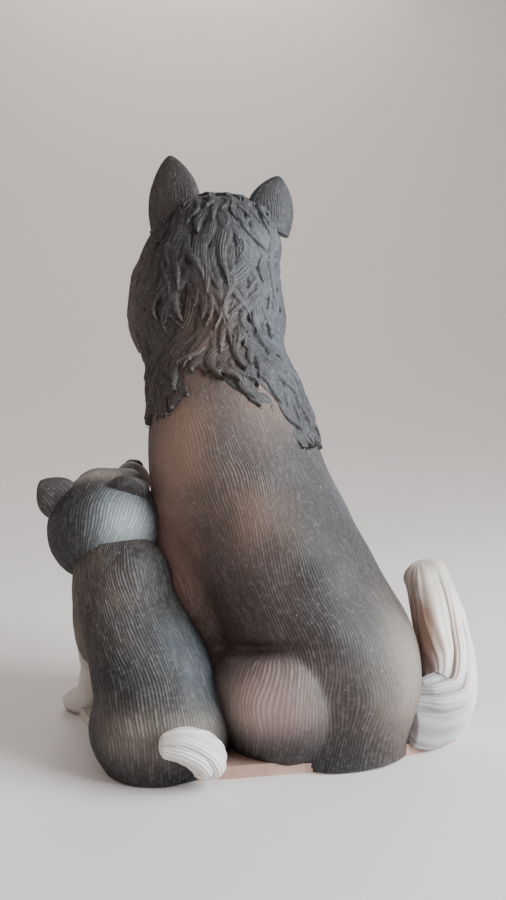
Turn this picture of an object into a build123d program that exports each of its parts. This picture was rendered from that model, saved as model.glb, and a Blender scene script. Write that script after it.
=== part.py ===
from build123d import *
from math import cos, radians, sin
import os

# A seated dog with a pup leaning on its side, in slip-cast ceramic. Each piece is moulded by
# itself, and the pieces are luted together on a thin base slab.
#
# Frame: +Z up, origin on the slab's underside. The mother's face looks along -Y, while her body
# is turned to her left. "Ahead", "left" and "up" are measured from an animal's own seat, in the
# direction its body faces.

# ---- Driving dimensions, millimetres and degrees ----
BASE_THICKNESS = 3.0
BASE_INSET = 2.0             # how far the slab stays in from the edge of what stands on it
VENT_RADIUS = 4.0            # holes that let the hollow bodies breathe in the kiln

MOTHER_SEAT = (-20.0, 22.0)  # where the middle of her rump rests, X and Y
MOTHER_TURN = 50.0           # her body's heading, from -Y towards +X
TRUNK_HEIGHT = 112.0         # underside of the slab to the seat of the neck joint
TRUNK_REACH = 38.0           # how far the neck stands ahead of the rump
RUMP_LENGTH = 50.0
RUMP_WIDTH = 54.0
WALL = 4.0

NECK_BORE_RADIUS = 8.0
SPIGOT_LENGTH = 9.0
SPIGOT_WALL = 3.0
SPIGOT_CLEARANCE = 0.2

HEAD_WIDTH = 39.0
HEAD_HEIGHT = 32.0
HEAD_RISE = 22.0             # middle of the skull above the neck joint
HEAD_FORWARD = 14.0          # middle of the skull in front of the neck joint
HEAD_SIDEWAYS = 0.4          # middle of the skull to the mother's left of the neck joint
MUZZLE_LENGTH = 15.0
MUZZLE_RADIUS = 8.5
MANE_WIDTH = 48.0
MANE_HEIGHT = 54.0
MANE_SIDEWAYS = 3.5          # the ruff is fuller on the pup's side

EAR_WIDTH = 14.0
EAR_THICKNESS = 8.0
LEFT_EAR_HEIGHT = 21.0
RIGHT_EAR_HEIGHT = 15.0      # the right ear is laid over a little
TENON_RADIUS = 2.0
TENON_LENGTH = 4.0
TENON_CLEARANCE = 0.1

FORELEG_RADIUS = 7.0
FORELEG_SPREAD = 24.0        # between the middles of the two forelegs
FOREPAW_LENGTH = 17.0
HAUNCH_LENGTH = 34.0
HAUNCH_WIDTH = 24.0
HIND_FOOT_LENGTH = 25.0
HIND_FOOT_WIDTH = 12.0
TAIL_HEIGHT = 42.0           # middle of the tail's tip above the underside of the slab
TAIL_RADIUS = 7.0

PUP_AHEAD = 20.4             # the pup's seat ahead of the mother's
PUP_STANDOFF = 11.0          # the pup's seat out from the widest part of the mother's rump
PUP_TURN = 40.0
PUP_TRUNK_HEIGHT = 46.0
PUP_TRUNK_REACH = 24.0
PUP_RUMP_LENGTH = 30.0
PUP_RUMP_WIDTH = 31.0
PUP_WALL = 3.0
PUP_BORE_RADIUS = 4.5
PUP_SPIGOT_LENGTH = 5.0
PUP_HEAD_WIDTH = 29.0
PUP_HEAD_HEIGHT = 28.0
PUP_HEAD_OFFSET = (4.5, -6.5)           # middle of the skull from the neck joint, X and Y
PUP_MUZZLE_REACH = (-4.0, -17.0, 17.0)  # end of the muzzle from the middle of the skull
PUP_MUZZLE_RADIUS = 5.0
PUP_EAR_HEIGHT = 8.0
PUP_EAR_WIDTH = 9.0
PUP_EAR_THICKNESS = 5.0
PUP_LEG_RADIUS = 4.0
PUP_FOREPAW_LENGTH = 12.0
PUP_HIND_FOOT_LENGTH = 13.0
PUP_TAIL_RADIUS = 4.0

QUARTER_ARC_HANDLE = 0.5523  # handle of a cubic curve that follows a quarter circle of radius 1

os.makedirs("parts", exist_ok=True)

slab_top = Plane.XY.offset(BASE_THICKNESS)
front = Vector(0, -1, 0)
upward = Vector(0, 0, 1)


def along(turn):
    """Unit vector of a heading, turned from -Y towards +X."""
    return Vector(sin(radians(turn)), -cos(radians(turn)), 0)


def place(seat, turn, ahead, left, up):
    """A point given ahead of, left of and above an animal's seat."""
    forward = along(turn)
    sideways = Vector(-forward.Y, forward.X, 0)
    return Vector(seat[0], seat[1], up) + forward * ahead + sideways * left


def mother_at(ahead, left, up):
    return place(MOTHER_SEAT, MOTHER_TURN, ahead, left, up)


pup_seat = mother_at(PUP_AHEAD, RUMP_WIDTH / 2 + PUP_STANDOFF, 0)


def pup_at(ahead, left, up):
    return place((pup_seat.X, pup_seat.Y), PUP_TURN, ahead, left, up)


def level(point, turn):
    """A level plane through a point, with its X along a heading."""
    return Plane(origin=point, x_dir=along(turn), z_dir=upward)


def limb_planes(points):
    """A plane across a limb at each of its points, facing along the limb."""
    planes = []
    for i, point in enumerate(points):
        before = points[max(i - 1, 0)]
        after = points[min(i + 1, len(points) - 1)]
        planes.append(Plane(origin=point, z_dir=after - before))
    return planes


def egg(middle, axis, half_length, half_width, flat_bottom=False):
    """An oval turned about an axis through its middle, cut off at the slab if flat_bottom."""
    side = upward.cross(axis) if abs(axis.Z) < 0.9 else front
    handle_along = half_length * QUARTER_ARC_HANDLE
    handle_across = half_width * QUARTER_ARC_HANDLE
    rear, top, nose = (-half_length, 0), (0, half_width), (half_length, 0)
    with BuildPart() as solid:
        with BuildSketch(Plane(origin=middle, x_dir=axis, z_dir=side)):
            with BuildLine():
                Bezier(rear, (-half_length, handle_across), (-handle_along, half_width), top)
                Bezier(top, (handle_along, half_width), (half_length, handle_across), nose)
                Line(nose, rear)
            make_face()
        revolve(axis=Axis(middle, axis))
        if flat_bottom:
            split(bisect_by=slab_top, keep=Keep.TOP)
    return solid.part


def trunk_stack(rows, base_height, top_height, at, reach, length, width):
    """Middle, half length and half width of each oval section of a trunk, from seat to neck."""
    return [
        (
            at(ahead * reach, 0, base_height + share * (top_height - base_height)),
            half_length * length,
            half_width * width,
        )
        for share, ahead, half_length, half_width in rows
    ]


# ---- Mother's trunk: oval sections from rump to neck, with a haunch on each side ----
# Each row: height, distance ahead, half length and half width, as shares of the trunk's sizes.
trunk_rows = [
    (0.00, 0.04, 0.44, 0.46),
    (0.12, 0.035, 0.50, 0.50),
    (0.24, 0.105, 0.51, 0.51),
    (0.36, 0.34, 0.50, 0.50),
    (0.50, 0.60, 0.48, 0.46),
    (0.64, 0.80, 0.41, 0.42),
    (0.78, 0.93, 0.36, 0.37),
    (0.90, 1.00, 0.32, 0.33),
    (1.00, 1.00, 0.28, 0.29),
]
trunk_sections = trunk_stack(
    trunk_rows, BASE_THICKNESS, TRUNK_HEIGHT, mother_at, TRUNK_REACH, RUMP_LENGTH, RUMP_WIDTH
)
neck_joint = trunk_sections[-1][0]
haunch_ahead = 0.12 * RUMP_LENGTH
haunch_left = 0.5 * RUMP_WIDTH - 0.42 * HAUNCH_WIDTH
haunch_up = BASE_THICKNESS + 0.36 * HAUNCH_LENGTH
haunch_axis = mother_at(0, 1, 0) - mother_at(0, 0, 0)
haunches = [
    egg(
        mother_at(haunch_ahead, side * haunch_left, haunch_up),
        haunch_axis,
        HAUNCH_WIDTH / 2,
        HAUNCH_LENGTH / 2,
        flat_bottom=True,
    )
    for side in (1, -1)
]

with BuildPart() as trunk_cavity:
    for point, half_length, half_width in trunk_sections[:-1]:
        with BuildSketch(level(point, MOTHER_TURN)):
            Ellipse(half_length - WALL, half_width - WALL)
    loft()

with BuildPart() as body_blank:
    for point, half_length, half_width in trunk_sections:
        with BuildSketch(level(point, MOTHER_TURN)):
            Ellipse(half_length, half_width)
    loft()
    for haunch in haunches:
        add(haunch)

# ---- Tail: leaves the rump low on the right, curls round it and rises ----
# Each row: distance ahead and left of the seat, share of the height, and girth.
tail_rows = [
    (-0.40, -0.20, 0.10, 1.00),
    (-0.41, -0.36, 0.18, 1.15),
    (-0.37, -0.47, 0.41, 1.05),
    (-0.32, -0.54, 0.66, 0.92),
    (-0.26, -0.57, 0.86, 0.78),
    (-0.18, -0.56, 1.00, 0.50),
]
tail_rise = TAIL_HEIGHT - BASE_THICKNESS
tail_points = [
    mother_at(ahead * RUMP_LENGTH, left * RUMP_WIDTH, BASE_THICKNESS + share * tail_rise)
    for ahead, left, share, girth in tail_rows
]
tail_tenon_start = mother_at(-0.46 * RUMP_LENGTH, -0.16 * RUMP_WIDTH, 0.09 * TRUNK_HEIGHT)
tail_tenon = Plane(
    origin=tail_tenon_start, z_dir=mother_at(0, 0, tail_tenon_start.Z) - tail_tenon_start
)
tail_tenon_length = TENON_LENGTH + WALL

with BuildPart() as mother_tail:
    for plane, (ahead, left, share, girth) in zip(limb_planes(tail_points), tail_rows):
        with BuildSketch(plane):
            Circle(girth * TAIL_RADIUS)
    loft()
    split(bisect_by=slab_top, keep=Keep.TOP)
    add(body_blank.part, mode=Mode.SUBTRACT)
    with BuildSketch(tail_tenon):
        Circle(TENON_RADIUS)
    extrude(amount=tail_tenon_length)
mother_tail.part.label = "mother_tail"

with BuildPart() as mother_body:
    add(body_blank.part)
    add(trunk_cavity.part, mode=Mode.SUBTRACT)
    with BuildSketch(level(neck_joint, MOTHER_TURN)):
        Circle(NECK_BORE_RADIUS)
    extrude(amount=-2 * SPIGOT_LENGTH - WALL, mode=Mode.SUBTRACT)
    with BuildSketch(tail_tenon):
        Circle(TENON_RADIUS + TENON_CLEARANCE)
    extrude(amount=tail_tenon_length + TENON_CLEARANCE, mode=Mode.SUBTRACT)
mother_body.part.label = "mother_body"

# ---- Mother's head: round skull, tapering muzzle, and a spigot that drops into the neck ----
skull = neck_joint + Vector(HEAD_SIDEWAYS, -HEAD_FORWARD, HEAD_RISE)
stump_radius = 0.25 * RUMP_WIDTH
muzzle_drop = 0.18 * HEAD_HEIGHT
muzzle_end = skull - Vector(0, HEAD_WIDTH / 2 + MUZZLE_LENGTH, 1.5 * muzzle_drop)
spigot_radius = NECK_BORE_RADIUS - SPIGOT_CLEARANCE
skull_egg = egg(skull, upward, HEAD_HEIGHT / 2, HEAD_WIDTH / 2)

with BuildPart() as head_blank:
    for middle in (neck_joint, skull):
        with BuildSketch(level(middle, MOTHER_TURN)):
            Circle(stump_radius)
    loft()
    add(skull_egg)
    with BuildSketch(Plane(origin=skull - Vector(0, 0, muzzle_drop), z_dir=front)):
        Circle(1.25 * MUZZLE_RADIUS)
    with BuildSketch(Plane(origin=muzzle_end, z_dir=front)):
        Circle(0.72 * MUZZLE_RADIUS)
    loft()

# Each ear: the middle of its root on the skull, its tip, and how far its tenon starts above.
ears = {}
for name, side, height in (("left", 1, LEFT_EAR_HEIGHT), ("right", -1, RIGHT_EAR_HEIGHT)):
    root = skull + Vector(side * 0.36 * HEAD_WIDTH, 0, 0.20 * HEAD_HEIGHT)
    tip = root + Vector(side * 0.08 * EAR_WIDTH, 0, height)
    ears[name] = (root, tip)
tenon_overlap = 0.3 * EAR_WIDTH  # the tenon starts this far up inside the ear

with BuildPart() as mother_head:
    add(head_blank.part)
    with BuildSketch(level(neck_joint, MOTHER_TURN)):
        Circle(spigot_radius)
    extrude(amount=-SPIGOT_LENGTH)
    with Locations(skull):
        Sphere(HEAD_HEIGHT / 2 - WALL, mode=Mode.SUBTRACT)
    with BuildSketch(level(neck_joint - upward * SPIGOT_LENGTH, MOTHER_TURN)):
        Circle(spigot_radius - SPIGOT_WALL)
    extrude(amount=SPIGOT_LENGTH + HEAD_RISE - HEAD_HEIGHT / 4, mode=Mode.SUBTRACT)
    for root, tip in ears.values():
        with BuildSketch(Plane(origin=root, z_dir=root - tip).offset(-tenon_overlap)):
            Circle(TENON_RADIUS + TENON_CLEARANCE)
        extrude(amount=TENON_LENGTH + tenon_overlap + TENON_CLEARANCE, mode=Mode.SUBTRACT)
mother_head.part.label = "mother_head"

mother_ears = []
for name, (root, tip) in ears.items():
    with BuildPart() as ear:
        for share, half_width, half_thickness in ((0, 0.5, 0.5), (0.5, 0.42, 0.36), (1, 0.1, 0.1)):
            middle = root + (tip - root) * share
            with BuildSketch(Plane(origin=middle, x_dir=(1, 0, 0), z_dir=tip - root)):
                Ellipse(half_width * EAR_WIDTH, half_thickness * EAR_THICKNESS)
        loft()
        add(head_blank.part, mode=Mode.SUBTRACT)
        with BuildSketch(Plane(origin=root, z_dir=root - tip).offset(-tenon_overlap)):
            Circle(TENON_RADIUS)
        extrude(amount=TENON_LENGTH + tenon_overlap)
    ear.part.label = f"mother_{name}_ear"
    mother_ears.append(ear)

# ---- Mane: a thick ruff of locks round the neck joint, open in front of the face ----
mane_middle = neck_joint + Vector(MANE_SIDEWAYS, -0.73 * HEAD_FORWARD, 0.18 * HEAD_RISE)
mane_front = Plane(origin=skull + front * 0.3 * HEAD_HEIGHT, z_dir=(0, 1, 0))
mane_egg = egg(mane_middle, upward, MANE_HEIGHT / 2, MANE_WIDTH / 2)

with BuildPart() as mother_mane:
    add(mane_egg)
    split(bisect_by=mane_front, keep=Keep.TOP)
    for neighbour in [head_blank, body_blank] + mother_ears:
        add(neighbour.part, mode=Mode.SUBTRACT)
mother_mane.part.label = "mother_mane"

# ---- Mother's forelegs: from inside the chest down to the paws ----
mother_forelegs = []
mother_paws = []
for name, side in (("left", 1), ("right", -1)):
    spread = side * FORELEG_SPREAD / 2
    leg_points = [
        mother_at(1.12 * TRUNK_REACH, spread, 0.60 * TRUNK_HEIGHT),
        mother_at(1.20 * TRUNK_REACH, spread, 0.36 * TRUNK_HEIGHT),
        mother_at(1.26 * TRUNK_REACH, spread, BASE_THICKNESS),
    ]
    paw = leg_points[-1] + along(MOTHER_TURN) * 0.32 * FOREPAW_LENGTH
    mother_paws.append(paw)
    paw_egg = egg(
        paw, along(MOTHER_TURN), FOREPAW_LENGTH / 2, FORELEG_RADIUS, flat_bottom=True
    )
    with BuildPart() as foreleg:
        for point, girth in zip(leg_points, (1.15, 1.05, 0.8)):
            with BuildSketch(level(point, MOTHER_TURN)):
                Circle(girth * FORELEG_RADIUS)
        loft()
        add(paw_egg)
        for neighbour in (body_blank, mother_mane):
            add(neighbour.part, mode=Mode.SUBTRACT)
    foreleg.part.label = f"mother_{name}_foreleg"
    mother_forelegs.append(foreleg)

# ---- Mother's hind feet, in front of the haunches ----
mother_hind_feet = []
mother_hind_paws = []
for name, side in (("left", 1), ("right", -1)):
    foot = mother_at(haunch_ahead + 0.5 * HAUNCH_LENGTH, side * haunch_left, BASE_THICKNESS)
    mother_hind_paws.append(foot)
    foot_egg = egg(
        foot, along(MOTHER_TURN), HIND_FOOT_LENGTH / 2, HIND_FOOT_WIDTH / 2, flat_bottom=True
    )
    with BuildPart() as hind_foot:
        add(foot_egg)
        for neighbour in [body_blank] + mother_forelegs:
            add(neighbour.part, mode=Mode.SUBTRACT)
    hind_foot.part.label = f"mother_{name}_hind_foot"
    mother_hind_feet.append(hind_foot)

# ---- Pup's trunk, pared where it lies on the mother ----
pup_rows = [
    (0.00, 0.06, 0.44, 0.46),
    (0.20, 0.08, 0.50, 0.52),
    (0.42, 0.30, 0.46, 0.50),
    (0.65, 0.56, 0.40, 0.48),
    (0.86, 0.90, 0.34, 0.40),
    (1.00, 1.00, 0.28, 0.31),
]
pup_sections = trunk_stack(
    pup_rows,
    BASE_THICKNESS,
    PUP_TRUNK_HEIGHT,
    pup_at,
    PUP_TRUNK_REACH,
    PUP_RUMP_LENGTH,
    PUP_RUMP_WIDTH,
)
pup_neck_joint = pup_sections[-1][0]
beside_pup = [body_blank, mother_forelegs[0], mother_hind_feet[0]]

with BuildPart() as pup_cavity:
    for point, half_length, half_width in pup_sections[:-1]:
        with BuildSketch(level(point, PUP_TURN)):
            Ellipse(half_length - PUP_WALL, half_width - PUP_WALL)
    loft()

with BuildPart() as pup_blank:
    for point, half_length, half_width in pup_sections:
        with BuildSketch(level(point, PUP_TURN)):
            Ellipse(half_length, half_width)
    loft()

with BuildPart() as pup_body:
    add(pup_blank.part)
    add(pup_cavity.part, mode=Mode.SUBTRACT)
    with BuildSketch(level(pup_neck_joint, PUP_TURN)):
        Circle(PUP_BORE_RADIUS)
    extrude(amount=-2 * PUP_SPIGOT_LENGTH - PUP_WALL, mode=Mode.SUBTRACT)
    for neighbour in beside_pup:
        add(neighbour.part, mode=Mode.SUBTRACT)
pup_body.part.label = "pup_body"

# ---- Pup's head, turned towards the mother, with the muzzle raised ----
pup_skull = pup_neck_joint + Vector(*PUP_HEAD_OFFSET, 0.31 * PUP_HEAD_HEIGHT)
pup_muzzle_end = pup_skull + Vector(*PUP_MUZZLE_REACH)
pup_skull_egg = egg(pup_skull, upward, PUP_HEAD_HEIGHT / 2, PUP_HEAD_WIDTH / 2)

with BuildPart() as pup_head_blank:
    for middle, girth in ((pup_skull, 1.6), (pup_muzzle_end, 0.8)):
        with BuildSketch(Plane(origin=middle, z_dir=pup_muzzle_end - pup_skull)):
            Circle(girth * PUP_MUZZLE_RADIUS)
    loft()
    add(pup_skull_egg)
    for neighbour in [pup_blank] + beside_pup:
        add(neighbour.part, mode=Mode.SUBTRACT)

with BuildPart() as pup_head:
    add(pup_head_blank.part)
    with BuildSketch(level(pup_neck_joint - upward * PUP_SPIGOT_LENGTH, PUP_TURN)):
        Circle(PUP_BORE_RADIUS - SPIGOT_CLEARANCE)
    extrude(amount=PUP_SPIGOT_LENGTH + 0.2 * PUP_HEAD_HEIGHT)
pup_head.part.label = "pup_head"

pup_ears = []
for name, side, lean, back in (("left", 1, 1.10, 0.25), ("right", -1, -0.10, 0.65)):
    root = pup_skull + Vector(side * 0.28, 0.10, 0) * PUP_HEAD_WIDTH + upward * 0.16 * PUP_HEAD_HEIGHT
    tip = root + Vector(side * lean * PUP_EAR_HEIGHT, back * PUP_EAR_HEIGHT, PUP_EAR_HEIGHT)
    with BuildPart() as ear:
        for middle, half_width, half_thickness in ((root, 0.5, 0.6), (tip, 0.14, 0.2)):
            with BuildSketch(Plane(origin=middle, x_dir=(1, 0, 0), z_dir=tip - root)):
                Ellipse(half_width * PUP_EAR_WIDTH, half_thickness * PUP_EAR_THICKNESS)
        loft()
        add(pup_head_blank.part, mode=Mode.SUBTRACT)
    ear.part.label = f"pup_{name}_ear"
    pup_ears.append(ear)

# ---- Pup's forelegs, hind feet and tail ----
pup_forelegs = []
pup_paws = []
# Each row: name, how far left the shoulder and the ankle stand, and how far ahead the ankle is.
pup_leg_rows = [("left", 0.20, -0.09, 1.85), ("right", -0.20, -0.37, 1.65)]
for name, shoulder_left, ankle_left, ankle_ahead in pup_leg_rows:
    shoulder = pup_at(
        1.10 * PUP_TRUNK_REACH, shoulder_left * PUP_RUMP_WIDTH, 0.70 * PUP_TRUNK_HEIGHT
    )
    ankle = pup_at(ankle_ahead * PUP_TRUNK_REACH, ankle_left * PUP_RUMP_WIDTH, BASE_THICKNESS)
    paw = ankle + along(PUP_TURN) * 0.3 * PUP_FOREPAW_LENGTH
    pup_paws.append(paw)
    paw_egg = egg(
        paw, along(PUP_TURN), PUP_FOREPAW_LENGTH / 2, 1.1 * PUP_LEG_RADIUS, flat_bottom=True
    )
    with BuildPart() as foreleg:
        for point, girth in ((shoulder, 1.25), (ankle, 0.85)):
            with BuildSketch(level(point, PUP_TURN)):
                Circle(girth * PUP_LEG_RADIUS)
        loft()
        add(paw_egg)
        for neighbour in [pup_blank, pup_head_blank] + beside_pup:
            add(neighbour.part, mode=Mode.SUBTRACT)
    foreleg.part.label = f"pup_{name}_foreleg"
    pup_forelegs.append(foreleg)

pup_hind_feet = []
for name, left_share in (("left", 0.10), ("right", -0.26)):
    foot = pup_at(0.75 * PUP_TRUNK_REACH, left_share * PUP_RUMP_WIDTH, BASE_THICKNESS)
    foot_egg = egg(
        foot, along(PUP_TURN), PUP_HIND_FOOT_LENGTH / 2, PUP_LEG_RADIUS, flat_bottom=True
    )
    with BuildPart() as hind_foot:
        add(foot_egg)
        for neighbour in [pup_blank] + beside_pup + pup_forelegs:
            add(neighbour.part, mode=Mode.SUBTRACT)
    hind_foot.part.label = f"pup_{name}_hind_foot"
    pup_hind_feet.append(hind_foot)

# Each row: distance ahead and left of the pup's seat, rise over the slab, and girth.
pup_tail_rows = [
    (-0.46, 0.02, 0.20, 0.85),
    (-0.56, 0.00, 1.20, 1.00),
    (-0.56, 0.12, 2.10, 1.00),
    (-0.50, 0.26, 2.30, 0.90),
    (-0.40, 0.38, 2.05, 0.45),
]
pup_tail_points = [
    pup_at(ahead * PUP_RUMP_LENGTH, left * PUP_RUMP_WIDTH, BASE_THICKNESS + rise * PUP_TAIL_RADIUS)
    for ahead, left, rise, girth in pup_tail_rows
]
with BuildPart() as pup_tail:
    for plane, (ahead, left, rise, girth) in zip(limb_planes(pup_tail_points), pup_tail_rows):
        with BuildSketch(plane):
            Circle(girth * PUP_TAIL_RADIUS)
    loft()
    split(bisect_by=slab_top, keep=Keep.TOP)
    for neighbour in (pup_blank, body_blank):
        add(neighbour.part, mode=Mode.SUBTRACT)
pup_tail.part.label = "pup_tail"

# ---- Base slab: webbed between the feet, and kept in from the edge of what stands on it ----
seats = ((trunk_sections[0], MOTHER_TURN), (pup_sections[0], PUP_TURN))
footings = [(section[0], section[1]) for section, turn in seats]
footings += [(tail_points[1], TAIL_RADIUS)]
footings += [(paw, FORELEG_RADIUS) for paw in mother_paws]
footings += [(paw, HIND_FOOT_WIDTH / 2) for paw in mother_hind_paws]
footings += [(paw, 1.1 * PUP_LEG_RADIUS) for paw in pup_paws]

with BuildPart() as base_plate:
    with BuildSketch():
        for spot, radius in footings:
            with Locations((spot.X, spot.Y)):
                Circle(radius - BASE_INSET)
        make_hull()
        for (spot, half_length, half_width), turn in seats:
            with Locations(Location((spot.X, spot.Y, 0), (0, 0, turn - 90))):
                Ellipse(half_length - BASE_INSET, half_width - BASE_INSET)
    extrude(amount=BASE_THICKNESS)
    for section, turn in seats:
        with BuildSketch(Plane(origin=(section[0].X, section[0].Y, 0))):
            Circle(VENT_RADIUS)
        extrude(amount=BASE_THICKNESS, mode=Mode.SUBTRACT)
base_plate.part.label = "base_plate"

pieces = [base_plate, mother_body, mother_head, mother_mane, mother_tail]
pieces += mother_ears + mother_forelegs + mother_hind_feet
pieces += [pup_body, pup_head, pup_tail] + pup_ears + pup_forelegs + pup_hind_feet
for piece in pieces:
    export_step(piece.part, f"parts/{piece.part.label}.step")
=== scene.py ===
import bpy
import numpy as np
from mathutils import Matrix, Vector


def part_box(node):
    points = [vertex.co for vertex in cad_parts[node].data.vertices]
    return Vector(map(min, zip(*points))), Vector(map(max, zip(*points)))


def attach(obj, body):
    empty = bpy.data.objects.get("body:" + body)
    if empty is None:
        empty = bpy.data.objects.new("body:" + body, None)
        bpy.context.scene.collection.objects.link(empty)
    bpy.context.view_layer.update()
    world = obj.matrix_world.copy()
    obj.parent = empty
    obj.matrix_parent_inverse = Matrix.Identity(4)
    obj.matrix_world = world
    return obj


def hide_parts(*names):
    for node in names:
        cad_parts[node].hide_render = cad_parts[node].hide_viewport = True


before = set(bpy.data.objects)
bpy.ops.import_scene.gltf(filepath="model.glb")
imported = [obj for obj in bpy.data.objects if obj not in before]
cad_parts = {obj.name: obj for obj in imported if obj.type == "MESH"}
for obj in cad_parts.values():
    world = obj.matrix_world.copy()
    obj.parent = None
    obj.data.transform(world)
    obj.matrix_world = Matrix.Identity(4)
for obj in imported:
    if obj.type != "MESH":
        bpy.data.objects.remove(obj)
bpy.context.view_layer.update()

# ---------------------------------------------------------------- camera, floor and light
# The group is seen from behind the mother, at the height of the pup's head, standing on a pale
# floor with a pale wall far behind it and soft light from a window on the tail's side.
MM = 0.001
CAMERA_TILT = 2.7          # degrees below the level
FOOT = 0.4                 # mm, the lowest ring of a skin, just clear of the floor
POINTS_PER_STROKE = 4      # columns of a skin to each engraved stroke
camera_data = bpy.data.cameras.new("camera")
camera_data.sensor_fit = "AUTO"
camera_data.sensor_width = 36.0
camera_data.lens = 34.0
camera_data.clip_start = 0.01
camera = bpy.data.objects.new("camera", camera_data)
camera.location = (0.0, 0.240, 0.086)
camera.rotation_euler = (np.radians(90.0 - CAMERA_TILT), 0.0, np.radians(180.0))
bpy.context.collection.objects.link(camera)
bpy.context.scene.camera = camera


def plain_material(name, colour, roughness):
    """One even colour, for the floor."""
    material = bpy.data.materials.new(name)
    material.use_nodes = True
    shader = material.node_tree.nodes["Principled BSDF"]
    shader.inputs["Base Color"].default_value = (*colour, 1.0)
    shader.inputs["Roughness"].default_value = roughness
    return material


def cove(name, floor_radius, curve_radius, height, columns=96):
    """A round studio backdrop: a flat floor, a quarter circle up from it, and an upright wall,
    revolved about Z. Rows are the profile and columns the turn."""
    bend = np.linspace(0.0, np.pi / 2, 25)
    inner, outer = 0.002, floor_radius + curve_radius
    radius = np.concatenate([[inner], floor_radius + curve_radius * np.sin(bend), [outer]])
    rise = np.concatenate([[0.0], curve_radius * (1 - np.cos(bend)), [height]])
    turn = np.linspace(0.0, 2 * np.pi, columns, endpoint=False)
    grid = np.stack(
        [
            radius[:, None] * np.cos(turn),
            radius[:, None] * np.sin(turn),
            np.broadcast_to(rise[:, None], (len(rise), columns)),
        ],
        -1,
    ).reshape(-1, 3)
    ring = np.arange(columns)
    first = (np.arange(len(rise) - 1) * columns)[:, None]
    after = np.roll(ring, -1)
    faces = np.stack([first + ring, first + columns + ring, first + columns + after, first + after], -1)
    mesh = bpy.data.meshes.new(name)
    mesh.from_pydata(grid.tolist(), [], faces.reshape(-1, 4).tolist() + [ring.tolist()])
    mesh.shade_smooth()
    wall = bpy.data.objects.new(name, mesh)
    bpy.context.collection.objects.link(wall)
    return wall


backdrop = cove("studio_floor", 0.35, 2.6, 3.2)
backdrop.data.materials.append(plain_material("pale_floor", (0.70, 0.665, 0.65), 0.75))
backdrop.visible_shadow = False

world = bpy.data.worlds.new("soft_room")
world.use_nodes = True
world.node_tree.nodes["Background"].inputs["Color"].default_value = (0.80, 0.74, 0.72, 1.0)
world.node_tree.nodes["Background"].inputs["Strength"].default_value = 0.80
bpy.context.scene.world = world


def soft_light(name, place, aim, size, watts, colour):
    """A square area light of a given size, pointed at a place on the object."""
    data = bpy.data.lights.new(name, "AREA")
    data.size = size
    data.energy = watts
    data.color = colour
    light = bpy.data.objects.new(name, data)
    light.location = place
    light.rotation_euler = (Vector(aim) - Vector(place)).to_track_quat("-Z", "Y").to_euler()
    bpy.context.collection.objects.link(light)


soft_light("window", (-0.52, 0.20, 0.30), (0.0, 0.0, 0.07), 0.40, 11.0, (0.90, 0.96, 1.0))
soft_light("room", (0.45, 0.65, 0.50), (0.0, 0.0, 0.06), 0.70, 0.9, (1.0, 0.95, 0.92))
soft_light("front_fill", (0.20, -2.50, 1.80), (0.0, 0.0, 0.07), 1.40, 26.0, (1.0, 0.97, 0.94))

# ---------------------------------------------------------------- mother's body
# The hollow trunk and haunches, slip-cast, with fur engraved in short strokes under a
# millimetre apart, airbrushed in matt underglaze and dry-brushed pale on the ridges, which also
# paints a cool highlight there; the grooves and the foot of the trunk carry painted shade.


def box_mm(node):
    """Lowest and highest corner of a CAD node, in millimetres."""
    low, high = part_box(node)
    return np.array(low) / MM, np.array(high) / MM


def share_of_box(node, x, y, z):
    """The point that lies at shares x, y, z of the way across a CAD node's box."""
    low, high = box_mm(node)
    return low + (high - low) * np.array([x, y, z])


def heading_frame(seat, turn):
    """Axes ahead, left and up of an animal, as the rows of a matrix, with its seat."""
    angle = np.radians(turn)
    ahead = np.array([np.sin(angle), -np.cos(angle), 0.0])
    left = np.array([np.cos(angle), np.sin(angle), 0.0])
    return np.array(seat), np.array([ahead, left, [0.0, 0.0, 1.0]])


def to_world(animal, points):
    """Places given ahead, left and up of an animal, as points of the object's own frame."""
    seat, axes = animal
    return seat + np.asarray(points, float) @ axes


def to_animal(animal, points):
    """The reverse of to_world."""
    seat, axes = animal
    return (points - seat) @ axes.T


mother = heading_frame(share_of_box("mother_body", 0.353, 0.620, 0.0) * [1, 1, 0], 50.0)


def oval(points, middle, radii, nose_up=0.0, turn=0.0):
    """Signed distance to an oval solid: how far out a point lies as a share of the radius,
    less one, times the smallest radius. nose_up and turn tip it in degrees."""
    rise, swing = np.radians(nose_up), np.radians(turn)
    local = points - np.asarray(middle, float)
    x = local[..., 0] * np.cos(swing) + local[..., 1] * np.sin(swing)
    y = local[..., 1] * np.cos(swing) - local[..., 0] * np.sin(swing)
    z = local[..., 2]
    x, z = x * np.cos(rise) + z * np.sin(rise), z * np.cos(rise) - x * np.sin(rise)
    share = np.sqrt((x / radii[0]) ** 2 + (y / radii[1]) ** 2 + (z / radii[2]) ** 2)
    return (share - 1.0) * min(radii)


def limb(points, start, end, start_radius, end_radius):
    """Signed distance to a straight tapering limb with round ends."""
    start, end = np.asarray(start, float), np.asarray(end, float)
    line = end - start
    share = np.clip((points - start) @ line / (line @ line), 0.0, 1.0)
    gap = np.linalg.norm(points - start - share[..., None] * line, axis=-1)
    return gap - (start_radius + (end_radius - start_radius) * share)


def merged(distances, softness):
    """One form from several: their least distance, rounded where they meet."""
    least = np.minimum.reduce(distances)
    total = sum(np.exp((least - d) / softness) for d in distances)
    return least - softness * np.log(total)


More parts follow.
